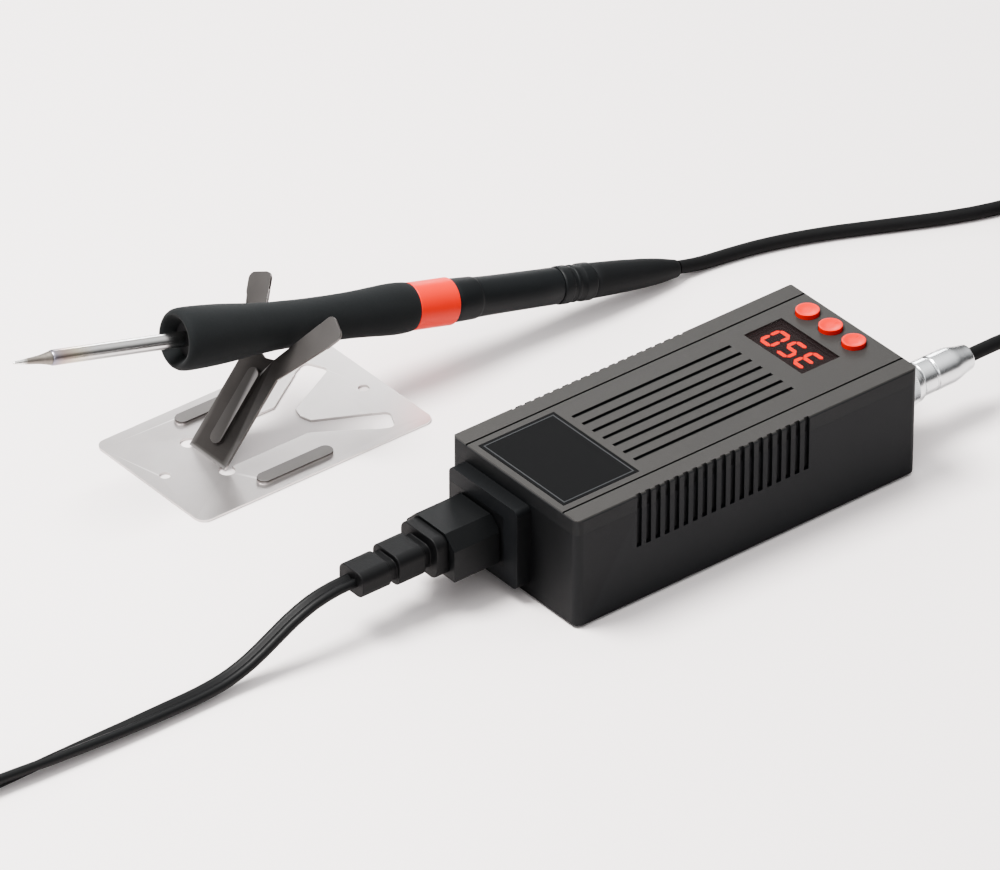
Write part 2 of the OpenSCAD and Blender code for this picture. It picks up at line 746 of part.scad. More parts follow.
module socket_nut() color("#b8bbbd") difference() {
    along_x(end_x - case_wall - 2.5, socket_y, port_height, 2.5) circle(d = 17, $fn = 6);
    rod_x(end_x - case_wall - 4, socket_y, port_height, socket_diameter, 6);
}

module contact_pins(d) for (k = [0 : 4])
    rod_x(end_x - 13, socket_y + 2.4 * cos(72 * k), port_height + 2.4 * sin(72 * k), d, 20);

module socket_pins() color("#d7c27a") contact_pins(1);

// Mains lead
module mains_connector() color("#17181a") difference() {
    union() {
        along_x(boss_face - 0.4, inlet_y, port_height, nose_length + 0.4)
            nose_outline(nose_width, nose_height, nose_corner);
        along_x(connector_rear, inlet_y, port_height, connector_length)
            nose_outline(nose_width + 1.8, nose_height + 1.4, nose_corner + 1.5);
    }
    for (j = [-1, 1]) box(boss_face + nose_length / 2, inlet_y + j * blade_pitch / 2,
        port_height - blade_height / 2 - 0.6, nose_length + 2, blade_width + 2,
        blade_height + 1.2);
}

module connector_contacts() color("#cdb86a") for (j = [-1, 1], k = [-1, 1])
    box(boss_face + nose_length / 2 - 1, inlet_y + j * blade_pitch / 2 + k * (blade_width / 2 + 0.5),
        port_height - blade_height / 2, nose_length - 1, 0.6, blade_height);

module mains_strain_relief() color("#1c1d1f") for (s = relief_steps)
    along_x(connector_rear - s[0], inlet_y, port_height, s[1]) round_rect(s[2], s[3], s[4]);

module mains_cord() color("#141416") {
    sweep(mains_route, mains_cord_width, mains_cord_thickness, 10, 90);
    sweep(plug_tail, mains_cord_width, mains_cord_thickness, 10);
}

module mains_coil() color("#141416")
    coil(mains_coil_centre, mains_coil_radius, mains_coil_band, mains_coil_height);

module mains_plug() color("#17181a") translate(plug_place) rotate([0, 0, 90])
    linear_extrude(plug_height)
    polygon([[0, -5], [12, -13], [21, -plug_half], [plug_length - 3, -plug_half],
        [plug_length, 3 - plug_half], [plug_length, plug_half - 3],
        [plug_length - 3, plug_half], [21, plug_half], [12, 13], [0, 5]]);

module mains_plug_pins() color("#c9ccce") translate(plug_place) rotate([0, 0, 90])
    for (j = [-1, 1])
    rod_x(plug_length, j * plug_pin_pitch / 2, plug_height / 2, plug_pin_diameter,
        plug_pin_length);

// Plug on the iron's cable
module plug_insert() color("#1e1f21") difference() {
    union() {
        rod_x(end_x + 3.2, socket_y, port_height, socket_diameter - 3.2, barrel_reach - 2.7);
        rod_x(end_x + barrel_reach + 0.4, socket_y, port_height, insert_diameter, 14);
    }
    contact_pins(1.2);
}

module coupling_nut() color("#c4c7c9") difference() {
    rod_x(nut_start, socket_y, port_height, nut_diameter, nut_length);
    rod_x(nut_start - 1, socket_y, port_height, socket_diameter + 0.3, barrel_reach + 0.6);
    rod_x(nut_start, socket_y, port_height, insert_diameter + 0.2, nut_length + 1);
    for (k = [0 : 29]) translate([0, socket_y, port_height]) rotate([12 * k, 0, 0])
        translate([nut_start + 2, 0, nut_diameter / 2])
            rotate([0, 90, 0]) cylinder(d = 0.9, h = nut_length - 4, $fn = 4);
}

module plug_shell() color("#c9ccce") difference() {
    translate([shell_start, socket_y, port_height]) turned([[0, 0], [shell_diameter / 2, 0],
        [shell_diameter / 2, shell_length * 0.62], [shell_diameter * 0.36, shell_length],
        [0, shell_length]]);
    rod_x(shell_start - 1, socket_y, port_height, insert_diameter + 0.2, shell_length * 0.62);
    rod_x(shell_start, socket_y, port_height, cable_diameter + 0.5, shell_length + 1);
}

module cable_clamp() color("#8f9294") difference() {
    rod_x(shell_start + 8, socket_y, port_height, 9.4, clamp_length);
    rod_x(shell_start + 7, socket_y, port_height, cable_diameter, clamp_length + 2);
}

// Soldering iron
module grip_sleeve() color("#15161a") iron_frame() difference() {
    turned([[0, grip_start], [flare_diameter / 2 - 1.4, grip_start],
        [flare_diameter / 2 - 0.4, grip_start + 1.2], [flare_diameter / 2, grip_start + 4],
        [flare_diameter / 2 - 0.2, grip_start + 12], [flare_diameter / 2 - 0.7, grip_start + 20],
        [flare_diameter / 2 - 1.5, grip_start + 28], [waist_diameter / 2 + 0.4, fork_point - 9],
        [waist_diameter / 2, fork_point], [waist_diameter / 2 - 0.3, fork_point + 10],
        [waist_diameter / 2 - 0.15, ring_start - 24.5],
        [swell_diameter / 2 - 0.4, ring_start - 14], [swell_diameter / 2, ring_start - 7],
        [ring_diameter / 2 + 0.2, ring_start - 0.6], [ring_diameter / 2, ring_start],
        [0, ring_start]]);
    turned([[0, grip_start - 1], [flare_diameter / 2 - 2.2, grip_start - 1],
        [flare_diameter / 2 - 2.6, grip_start], [core_diameter / 2, grip_start + recess_depth],
        [core_diameter / 2, ring_start + 1], [0, ring_start + 1]]);
}

module nose_insert() color("#2a2b2e") iron_frame() difference() {
    rod_x(grip_start + recess_depth, 0, 0, core_diameter, nose_depth);
    rod_x(grip_start, 0, 0, core_bore, recess_depth + nose_depth + 1);
}

module handle_core() color("#1d1e21") iron_frame() difference() {
    rod_x(grip_start + recess_depth + nose_depth, 0, 0, core_diameter,
        ring_end + sleeve_overlap - grip_start - recess_depth - nose_depth);
    rod_x(grip_start, 0, 0, tube_diameter + 0.6, carrier_start - grip_start);
    rod_x(carrier_start - 1, 0, 0, 9, ring_end - carrier_start + 10);
}

module colour_ring() color("#e0352b") iron_frame() difference() {
    rod_x(ring_start, 0, 0, ring_diameter, ring_width);
    rod_x(ring_start - 1, 0, 0, core_diameter, ring_width + 2);
}

module rear_handle() color("#17181b") iron_frame() difference() {
    turned([[0, ring_end], [rear_diameter / 2, ring_end],
        [rear_diameter / 2 - 0.3, ring_end + 10.4], [rear_diameter / 2 - 0.65, ring_end + 11.4],
        [rear_diameter / 2 - 1, ring_end + 28], [rear_diameter / 2 - 1.2, rear_end],
        [0, rear_end]]);
    rod_x(ring_end - 1, 0, 0, core_diameter, sleeve_overlap + 1);
    rod_x(ring_end, 0, 0, rear_bore, rear_length + 1);
}

module rear_collar() color("#1b1c1f") iron_frame() difference() {
    turned([[0, rear_end], [collar_diameter / 2 - 0.3, rear_end],
        [collar_diameter / 2, rear_end + 0.6], [collar_diameter / 2, rear_end + 4],
        [collar_diameter / 2 - 0.4, rear_end + 4.6], [collar_diameter / 2 - 0.4, collar_end - 5],
        [collar_diameter / 2 - 0.1, collar_end - 4.4], [collar_diameter / 2 - 0.1, collar_end - 0.6],
        [collar_diameter / 2 - 0.4, collar_end], [0, collar_end]]);
    rod_x(rear_end - 1, 0, 0, 9, collar_length + 2);
}

module cable_boot() color("#1a1b1d") iron_frame() difference() {
    turned([[0, rear_end + 4], [4.5, rear_end + 4], [4.5, collar_end],
        [collar_diameter / 2 - 0.5, collar_end], [collar_diameter / 2 - 0.7, collar_end + 6],
        [collar_diameter / 2 - 1.1, boot_end - 24], [collar_diameter / 2 - 1.6, boot_end - 15],
        [collar_diameter / 2 - 2.4, boot_end - 7.5], [cable_diameter / 2 + 1.2, boot_end - 3],
        [cable_diameter / 2 + 0.7, boot_end], [0, boot_end]]);
    rod_x(rear_end, 0, 0, cable_diameter, boot_end - rear_end + 1);
}

module contact_carrier() color("#d9d4c4") iron_frame() difference() {
    rod_x(carrier_start, 0, 0, 9, carrier_length);
    rod_x(carrier_start - 1, 0, 0, tube_diameter + 0.6, 19.5);
    for (k = [0 : 2]) rotate([120 * k, 0, 0])
        translate([carrier_start + 1, 0, 2.4]) translate([0, -1.1, 0]) cube([17, 2.2, 3]);
}

module contact_springs() color("#d8b25c") iron_frame() for (k = [0 : 2])
    rotate([120 * k, 0, 0]) translate([carrier_start + 2, -0.9, tube_diameter / 2 + 0.4])
        cube([15, 1.8, 0.5]);

module tip_point() color("#b9b4ac") iron_frame() turned([[0, 0], [0.3, 0.3],
    [1.3, tip_length - 6], [1.9, tip_length - 3], [tube_diameter / 2 - 0.3, tip_length],
    [0, tip_length]]);

module heater_tube() color("#b4b6b8") iron_frame()
    turned([[0, tip_length], [tube_diameter / 2 - 0.3, tip_length],
        [tube_diameter / 2, tip_length + 1], [tube_diameter / 2, cartridge_length - 16],
        [0, cartridge_length - 16]]);

module cartridge_insulators() color("#e6e2d6") iron_frame() for (i = [0 : 1])
    rod_x(cartridge_length - 16 + i * 7, 0, 0, tube_diameter - 0.2, 2);

module cartridge_contacts() color("#d4b868") iron_frame() for (i = [0 : 1])
    rod_x(cartridge_length - 14 + i * 7, 0, 0, tube_diameter - 0.1, i == 0 ? 5 : 7);

module hand_cable_iron() color("#151517")
    sweep(iron_route, cable_diameter, cable_diameter, 8);

module hand_coil() color("#151517")
    coil(hand_coil_centre, hand_coil_radius, hand_coil_band, hand_coil_height);

module hand_cable_plug() color("#151517")
    sweep(plug_route, cable_diameter, cable_diameter, 8);

// Stand: one stamped sheet. The fork is cut out of the plate and bent up.
// Flat outline of the fork: along the sheet from the bend, and across
module fork_outline() {
    translate([0, -stem_width / 2]) square([crotch - 4, stem_width]);
    for (j = [0, 1]) mirror([0, j]) {
        polygon([[crotch - 8, 0], [crotch, 0], [crotch + 1.2, crotch_half],
            [prong_inner_t, prong_inner_w], [prong_tip_t - 1.6, prong_tip_w + prong_width / 2],
            [crotch - 4, stem_width / 2], [crotch - 8, stem_width / 2]]);
        translate([prong_tip_t, prong_tip_w]) rotate(v_half)
            translate([prong_end - prong_pad / 2, 0])
                round_rect(prong_pad, prong_width + 0.6, prong_corner);
    }
}

// Pressed rib: proud on one face and hollow on the other
module pressed_rib(l) difference() {
    linear_extrude(sheet + rib_height) stadium(l, rib_width);
    translate([0, 0, -1]) linear_extrude(1 + rib_height) stadium(l - 2, rib_width - 2);
}

module rib_slot(l) translate([0, 0, -1]) linear_extrude(sheet + 2) stadium(l - 2, rib_width - 2);

module stand() color("#b9bcbd") {
    translate([stand_x, stand_y, 0]) {
        difference() {
            translate([stand_length / 2, stand_width / 2, 0])
                block(stand_length, stand_width, sheet, stand_corner);
            translate([bend_line, stand_width / 2, -1]) linear_extrude(sheet + 2) fork_outline();
            for (j = [-1, 1]) rod(bend_line, stand_width / 2 + j * (stem_width / 2 + 1), -1,
                relief_hole, sheet + 2);
            for (x = [fixing_inset, stand_length - fixing_inset])
                rod(x, stand_width / 2, -1, fixing_hole, sheet + 2);
            for (y = [7.5, stand_width - 7.5]) translate([46, y, 0]) rib_slot(32);
        }
        for (y = [7.5, stand_width - 7.5]) translate([46, y, 0]) pressed_rib(32);
        translate([bend_line, stand_width / 2, 0]) {
            translate([-1, 0, 0]) box(0, 0, 0, 4, stem_width - relief_hole + 2, sheet);
            rotate([0, -fork_angle, 0]) {
                difference() {
                    linear_extrude(sheet) fork_outline();
                    translate([21, 0, 0]) rib_slot(30);
                    box(0, 0, -1, 1, stem_width + 2, sheet + 2);
                }
                translate([21, 0, 0]) pressed_rib(30);
            }
        }
    }
}

bottom_shell();
top_cover();
label_plate();
case_screws();
rubber_feet();
display_window();
display_module();
display_segments();
control_board();
control_chip();
tact_switches();
button_minus();
button_plus();
button_set();
board_screws();
control_ribbon();
power_board();
transformer_core();
transformer_winding();
electrolytic_capacitors();
filter_choke();
film_capacitor();
line_fuse();
heat_sinks();
power_semiconductors();
mains_inlet();
inlet_blades();
output_socket();
socket_nut();
socket_pins();
mains_connector();
connector_contacts();
mains_strain_relief();
mains_cord();
mains_coil();
mains_plug();
mains_plug_pins();
plug_insert();
coupling_nut();
plug_shell();
cable_clamp();
grip_sleeve();
nose_insert();
handle_core();
colour_ring();
rear_handle();
rear_collar();
cable_boot();
contact_carrier();
contact_springs();
tip_point();
heater_tube();
cartridge_insulators();
cartridge_contacts();
hand_cable_iron();
hand_coil();
hand_cable_plug();
stand();
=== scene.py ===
import math
import bpy
from mathutils import Matrix, Vector


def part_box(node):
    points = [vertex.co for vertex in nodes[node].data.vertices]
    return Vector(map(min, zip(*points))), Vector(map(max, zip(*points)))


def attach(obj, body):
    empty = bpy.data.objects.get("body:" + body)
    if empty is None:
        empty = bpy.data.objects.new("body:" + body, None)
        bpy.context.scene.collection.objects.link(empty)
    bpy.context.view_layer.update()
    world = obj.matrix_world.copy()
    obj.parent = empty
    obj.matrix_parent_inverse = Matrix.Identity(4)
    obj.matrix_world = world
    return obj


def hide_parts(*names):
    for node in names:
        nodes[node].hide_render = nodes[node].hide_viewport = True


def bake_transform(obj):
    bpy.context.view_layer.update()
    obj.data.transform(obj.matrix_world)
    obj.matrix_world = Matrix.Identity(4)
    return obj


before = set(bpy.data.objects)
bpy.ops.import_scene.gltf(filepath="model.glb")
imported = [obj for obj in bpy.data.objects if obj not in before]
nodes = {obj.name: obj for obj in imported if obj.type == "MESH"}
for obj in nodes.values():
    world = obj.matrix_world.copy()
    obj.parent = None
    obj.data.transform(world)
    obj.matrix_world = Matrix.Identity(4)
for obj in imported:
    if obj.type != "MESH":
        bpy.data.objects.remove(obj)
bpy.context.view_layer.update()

# Soldering station: controller, mains lead, iron on its cable and a folded sheet stand
scene = bpy.context.scene
mm = 0.001


# ---- camera and room ----

view = {
    "azimuth": -38.7,          # degrees, seen from the inlet end of the controller
    "elevation": 34,
    "distance": 3.2,
    "target": (-0.0385, 0.0535, 0.018),
    "fieldWidth": 0.344,       # metres across the picture at the target
    "sensor": 36,
}


def addCamera():
    a, e = math.radians(view["azimuth"]), math.radians(view["elevation"])
    back = Vector((math.sin(a) * math.cos(e), -math.cos(a) * math.cos(e), math.sin(e)))
    bpy.ops.object.camera_add(location=Vector(view["target"]) + back * view["distance"])
    camera = bpy.context.object
    camera.name = "Camera"
    camera.rotation_mode = "QUATERNION"
    camera.rotation_quaternion = (-back).to_track_quat("-Z", "Y")
    camera.data.sensor_width = view["sensor"]
    camera.data.lens = view["sensor"] * view["distance"] / view["fieldWidth"]
    camera.data.clip_start = 0.01
    scene.camera = camera


addCamera()
print("camera placed")


# ---- small tools ----

def deselect():
    if bpy.context.object and bpy.context.object.mode != "OBJECT":
        bpy.ops.object.mode_set(mode="OBJECT")
    bpy.ops.object.select_all(action="DESELECT")


def pick(obj):
    deselect()
    obj.select_set(True)
    bpy.context.view_layer.objects.active = obj


def editAll(obj, kind="VERT"):
    pick(obj)
    bpy.ops.object.mode_set(mode="EDIT")
    bpy.ops.mesh.select_mode(type=kind)
    bpy.ops.mesh.select_all(action="SELECT")


def leave():
    bpy.ops.object.mode_set(mode="OBJECT")


def chooseFaces(obj, test):
    # leaves the mesh in edit mode with only the faces that pass the test selected
    editAll(obj, "FACE")
    bpy.ops.mesh.select_all(action="DESELECT")
    leave()
    for face in obj.data.polygons:
        face.select = test(face.center, face.normal)
    bpy.ops.object.mode_set(mode="EDIT")


def chooseVertices(obj, test):
    editAll(obj, "VERT")
    bpy.ops.mesh.select_all(action="DESELECT")
    leave()
    for vertex in obj.data.vertices:
        vertex.select = test(vertex.co)
    bpy.ops.object.mode_set(mode="EDIT")


def placeMesh(obj, matrix):
    obj.data.transform(matrix)
    obj.matrix_world = Matrix.Identity(4)


def rounded(obj, width, segments=2, angle=30):
    pick(obj)
    bevel = obj.modifiers.new("edges", "BEVEL")
    bevel.width = width
    bevel.segments = segments
    bevel.limit_method = "ANGLE"
    bevel.angle_limit = math.radians(angle)
    bpy.ops.object.modifier_apply(modifier=bevel.name)
    bpy.ops.object.shade_smooth_by_angle(angle=math.radians(angle))
    flat = obj.modifiers.new("flat faces", "WEIGHTED_NORMAL")
    flat.keep_sharp = True
    flat.weight = 100
    bpy.ops.object.modifier_apply(modifier=flat.name)


def mended(node, name):
    # a copy of a CAD node as one clean mesh, with its coplanar triangles joined
    mesh = nodes[node].data.copy()
    mesh.materials.clear()
    obj = bpy.data.objects.new(name, mesh)
    scene.collection.objects.link(obj)
    editAll(obj)
    bpy.ops.mesh.remove_doubles(threshold=0.000002)
    bpy.ops.mesh.dissolve_limited(angle_limit=math.radians(0.6))
    leave()
    return obj


def softened(node, name, width, segments=2, angle=30):
    obj = mended(node, name)
    rounded(obj, width, segments, angle)
    return obj


def smoothLine(points, step):
    # a curve through the points, cut into short stretches of about one step
    line = []
    for i in range(len(points) - 1):
        p0 = Vector(points[max(i - 1, 0)])
        p1 = Vector(points[i])
        p2 = Vector(points[i + 1])
        p3 = Vector(points[min(i + 2, len(points) - 1)])
        count = max(1, round((p2 - p1).length / step))
        for k in range(count):
            t = k / count
            line.append(0.5 * (2 * p1 + (p2 - p0) * t + (2 * p0 - 5 * p1 + 4 * p2 - p3) * t * t
                               + (3 * p1 - p0 - 3 * p2 + p3) * t ** 3))
    line.append(Vector(points[-1]))
    return line


def lineLength(line):
    return sum((b - a).length for a, b in zip(line, line[1:]))


def turned(name, rings, sides=72, bore=None):
    # the first circle stands across X and is pulled and scaled from ring to ring (along, radius)
    deselect()
    along, radius = rings[0]
    bpy.ops.mesh.primitive_circle_add(vertices=sides, radius=radius * mm,
                                      location=(along * mm, 0, 0),
                                      rotation=(0, math.pi / 2, 0))
    obj = bpy.context.object
    obj.name = name
    bpy.ops.object.transform_apply(location=True, rotation=True, scale=True)
    editAll(obj, "EDGE")
    steps = rings + (bore or [])
    for (x0, r0), (x1, r1) in zip(steps, steps[1:]):
        bpy.ops.mesh.extrude_edges_move(TRANSFORM_OT_translate={"value": ((x1 - x0) * mm, 0, 0)})
        if abs(r1 - r0) > 1e-6:
            share = r1 / r0
            bpy.ops.transform.resize(value=(1, share, share), center_override=(x1 * mm, 0, 0))
    bpy.ops.mesh.select_all(action="DESELECT")
    bpy.ops.mesh.select_non_manifold()
    if bore:
        bpy.ops.mesh.bridge_edge_loops()
    else:
        bpy.ops.mesh.fill_holes(sides=0)
        bpy.ops.mesh.select_all(action="SELECT")
    bpy.ops.mesh.select_all(action="SELECT")
    bpy.ops.mesh.normals_make_consistent(inside=False)
    leave()
    return obj


def settle(obj, finish, body, slotName, *replaced):
    obj.data.materials.clear()
    obj.data.materials.append(finish)
    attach(obj, body)
    if replaced:
        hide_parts(*replaced)
    return obj


def paint(finish, *names):
    for name in names:
        mesh = nodes[name].data
        mesh.materials.clear()
        mesh.materials.append(finish)


# ---- materials ----

class Wire:
    # one node output; arithmetic on it adds Math nodes
    def __init__(self, finish, socket):
        self.finish = finish
        self.socket = socket

    def maths(self, operation, *values):
        return self.finish.node("ShaderNodeMath", {"operation": operation}, values)

    def __add__(self, other):
        return self.maths("ADD", self, other)

    __radd__ = __add__

    def __mul__(self, other):
        return self.maths("MULTIPLY", self, other)

    __rmul__ = __mul__

    def __sub__(self, other):
        return self.maths("SUBTRACT", self, other)

    def __rsub__(self, other):
        return self.maths("SUBTRACT", other, self)

    def __truediv__(self, other):
        return self.maths("DIVIDE", self, other)

    def __gt__(self, other):
        return self.maths("GREATER_THAN", self, other)

    def __lt__(self, other):
        return self.maths("LESS_THAN", self, other)

    def __pow__(self, other):
        return self.maths("POWER", self, other)

    def absolute(self):
        return self.maths("ABSOLUTE", self)

    def wrapped(self, span):
        return self.maths("WRAP", self, span, 0)

    def clamped(self, low=0.0, high=1.0):
        return self.maths("MINIMUM", self.maths("MAXIMUM", self, low), high)


class Finish:
    # one material: node() adds any node, put() fills a socket of its shader
    def __init__(self, name, **constants):
        self.material = bpy.data.materials.new(name)
        self.material.use_nodes = True
        self.tree = self.material.node_tree
        self.shader = self.tree.nodes["Principled BSDF"]
        for key, value in constants.items():
            self.shader.inputs[key.replace("_", " ")].default_value = value
        self.place = self.node("ShaderNodeTexCoord", {}, {}, "Object")

    def node(self, kind, settings, values, output=0):
        made = self.tree.nodes.new(kind)
        for key, value in settings.items():
            if key == "stops":
                self.setRamp(made.color_ramp, value)
            else:
                setattr(made, key, value)
        pairs = values.items() if isinstance(values, dict) else enumerate(values)
        for key, value in pairs:
            self.fill(made.inputs[key], value)
        return Wire(self, made.outputs[output])

    def setRamp(self, ramp, stops):
        while len(ramp.elements) < len(stops):
            ramp.elements.new(0.5)
        for element, (position, colour) in zip(ramp.elements, stops):
            element.position = position
            element.color = (*colour, 1) if len(colour) == 3 else colour

    def fill(self, socket, value):
        if isinstance(value, Wire):
            self.tree.links.new(value.socket, socket)
        elif hasattr(value, "__len__") and len(value) == 3 and len(socket.default_value) == 4:
            socket.default_value = (*value, 1)
        else:
            socket.default_value = value

    def put(self, **values):
        for key, value in values.items():
            self.fill(self.shader.inputs[key.replace("_", " ")], value)
        return self

    def moved(self, location=(0, 0, 0), turn=(0, 0, 0), scale=(1, 1, 1)):
        return self.node("ShaderNodeMapping", {},
                         {"Vector": self.place, "Location": location, "Rotation": turn, "Scale": scale})

    def noise(self, scale, detail=3, rough=0.5, at=None):
        return self.node("ShaderNodeTexNoise", {},
                         {"Vector": at or self.place, "Scale": scale, "Detail": detail, "Roughness": rough})

    def cells(self, scale, at=None):
        return self.node("ShaderNodeTexVoronoi", {}, {"Vector": at or self.place, "Scale": scale})

    def axis(self, letter, at=None):
        return self.node("ShaderNodeSeparateXYZ", {}, {0: at or self.place}, "XYZ".index(letter))

    def ramp(self, value, *stops):
        return self.node("ShaderNodeValToRGB", {"stops": stops}, {0: value})

    def between(self, value, low, high):
        # 0 below low, 1 above high
        return self.node("ShaderNodeMapRange", {"clamp": True},
                         {"Value": value, "From Min": low, "From Max": high})

    def mix(self, share, first, second, blend="MIX"):
        return self.node("ShaderNodeMix", {"data_type": "RGBA", "blend_type": blend},
                         {0: share, 6: first, 7: second}, 2)

    def edges(self, low=0.515, high=0.56):
        return self.between(self.node("ShaderNodeNewGeometry", {}, {}, "Pointiness"), low, high)

    def relief(self, height, depth, under=None):
        values = {"Height": height, "Distance": depth, "Strength": 1.0}
        if under:
            values["Normal"] = under
        return self.node("ShaderNodeBump", {}, values)


def shade(colour, share):
    return tuple(min(1, c * share) for c in colour)


# Moulded plastics and rubbers: colour drift, a fine spark-eroded grain, lighter rubbed edges
mouldings = {
    #               colour,                  rough, grain per m, depth mm, edge lift
    "caseBlack":    ((0.0069, 0.0077, 0.0088), 0.50, 2600, 0.030, 2.6),
    "coverPaintedLightGrey":    ((0.0360, 0.0372, 0.0390), 0.44, 3000, 0.028, 1.7),
    # painted light: a lighter copy of the case plastic for the lit top of the cover; no part uses it
    "inletBlack":   ((0.0060, 0.0063, 0.0069), 0.42, 2000, 0.020, 2.0),
    "connectorBlack": ((0.0066, 0.0072, 0.0078), 0.40, 1800, 0.030, 2.2),
    "reliefBlack":  ((0.0072, 0.0075, 0.0081), 0.48, 1500, 0.040, 2.0),
    "cordBlack":    ((0.0078, 0.0081, 0.0087), 0.46, 900, 0.030, 1.4),
    "cableBlack":   ((0.0066, 0.0066, 0.0072), 0.62, 1200, 0.040, 1.4),
    "bootBlack":    ((0.0110, 0.0118, 0.0128), 0.58, 1500, 0.040, 1.8),
    "handleBlack":  ((0.0125, 0.0142, 0.0155), 0.48, 2200, 0.030, 1.9),
    "gripRubber":   ((0.0158, 0.0176, 0.0188), 0.72, 1700, 0.060, 1.5),
    "collarBlack":  ((0.0110, 0.0122, 0.0132), 0.45, 2000, 0.025, 1.9),
    "footRubber":   ((0.0100, 0.0100, 0.0105), 0.80, 1400, 0.080, 1.6),
    "tieBlack":     ((0.0063, 0.0063, 0.0066), 0.38, 1200, 0.020, 1.6),
    "switchBlack":  ((0.0150, 0.0155, 0.0170), 0.40, 2200, 0.020, 1.6),
    "insertBlack":  ((0.0180, 0.0185, 0.0200), 0.45, 2200, 0.020, 1.6),
    "ledBlack":     ((0.0100, 0.0095, 0.0095), 0.55, 2500, 0.020, 1.3),
    "nylonCream":   ((0.6200, 0.5700, 0.4300), 0.42, 1600, 0.020, 1.2),
    "ringRed":      ((0.7600, 0.0560, 0.0330), 0.34, 2200, 0.010, 1.2),
    "keyRed":       ((0.7200, 0.0420, 0.0240), 0.36, 1900, 0.020, 1.3),
    "filmYellow":   ((0.6800, 0.4300, 0.0300), 0.35, 1200, 0.020, 1.2),
    "windingTape":  ((0.7200, 0.5400, 0.0500), 0.30, 700, 0.030, 1.1),
    "ribbonGrey":   ((0.4200, 0.4000, 0.3500), 0.50, 1000, 0.020, 1.1),
    "ceramicWhite": ((0.7800, 0.7500, 0.6700), 0.30, 1800, 0.020, 1.1),
}


def moulded(name):
    colour, rough, grain, depth, lift = mouldings[name]
    f = Finish(name, Specular_IOR_Level=0.32)
    drift = f.noise(28, 3)
    fine = f.noise(grain, 2, 0.6)
    body = f.mix(drift, shade(colour, 0.86), shade(colour, 1.16))
    body = f.mix(f.edges() * 0.55, body, shade(colour, lift))
    dust = f.between(f.noise(420, 5, 0.7), 0.60, 0.78) * 0.10
    body = f.mix(dust, body, shade(colour, 1.9))
    f.put(Base_Color=body, Roughness=(rough + drift * 0.10 - 0.05 + fine * 0.08).clamped())
    f.put(Normal=f.relief(fine, depth * mm, f.relief(drift, 0.05 * mm)))
    return f.material


# Metals: a drawn or rolled direction, small scratches and a tint
metals = {
    #               colour,                  rough, stretch of the grain along x, y, z
    "screwSteel":   ((0.55, 0.55, 0.56), 0.30, (900, 900, 200)),
    "sinkAluminium": ((0.62, 0.64, 0.66), 0.38, (120, 120, 1800)),
    "contactBrass": ((0.80, 0.62, 0.28), 0.30, (200, 900, 900)),
    "springBronze": ((0.78, 0.56, 0.24), 0.28, (200, 900, 900)),
    "bladeNickel":  ((0.70, 0.69, 0.65), 0.24, (160, 900, 900)),
    "socketChrome": ((0.74, 0.75, 0.76), 0.16, (2400, 200, 200)),
    "nutChrome":    ((0.70, 0.71, 0.72), 0.20, (2600, 160, 160)),
    "clampZinc":    ((0.58, 0.58, 0.57), 0.40, (500, 500, 500)),
}


def metallic(name):
    colour, rough, stretch = metals[name]
    f = Finish(name, Metallic=1.0)
    grain = f.noise(1, 4, 0.6, f.moved(scale=stretch))
    stain = f.noise(90, 4, 0.6)
    body = f.mix(stain, shade(colour, 0.84), shade(colour, 1.08))
    body = f.mix(f.edges() * 0.4, body, shade(colour, 1.2))
    f.put(Base_Color=body, Roughness=(rough + grain * 0.16 - 0.06 + stain * 0.06).clamped())
    f.put(Normal=f.relief(grain, 0.012 * mm))
    return f.material


finishes = {name: moulded(name) for name in mouldings}
finishes.update({name: metallic(name) for name in metals})
print("common finishes made:", len(finishes))


# ---- the cords ----

coils = {
    "mains": {"centre": (-0.340, 0.060), "enter": -90, "outer": 0.044, "pitch": 0.00346,
              "low": 0.0037, "high": 0.0105, "turns": 4.25, "side": 0.17},
    "iron":  {"centre": (0.228, 0.038), "enter": 90, "outer": 0.033, "pitch": 0.00505,
              "low": 0.0026, "high": 0.0077, "turns": 4.5, "side": 0.15},
}


def eased(value, low, high):
    t = min(1, max(0, (value - low) / (high - low)))
    return t * t * (3 - 2 * t)


def coilLine(coil, perTurn=64):
    # Clockwise from above. Three strands lie side by side below and three above. In each turn
    # the upper strands step outward, then the inmost one climbs, then the lower ones step inward.
    side = coil["side"]
    line = []
    for i in range(1, round(coil["turns"] * perTurn)):
        turn = i / perTurn
        inward = eased(turn, 2 * side, 3 * side) + eased(turn, 1 + 2 * side, 1 + 3 * side)
        outward = eased(turn, 3, 3 + side) + eased(turn, 4, 4 + side)
        climb = eased(turn, 2 + side, 2 + 2 * side)
        radius = coil["outer"] - coil["pitch"] * (inward - outward)
        angle = math.radians(coil["enter"]) - 2 * math.pi * turn
        line.append(Vector((coil["centre"][0] + radius * math.cos(angle),
                            coil["centre"][1] + radius * math.sin(angle),
                            coil["low"] + (coil["high"] - coil["low"]) * climb)))
    return line


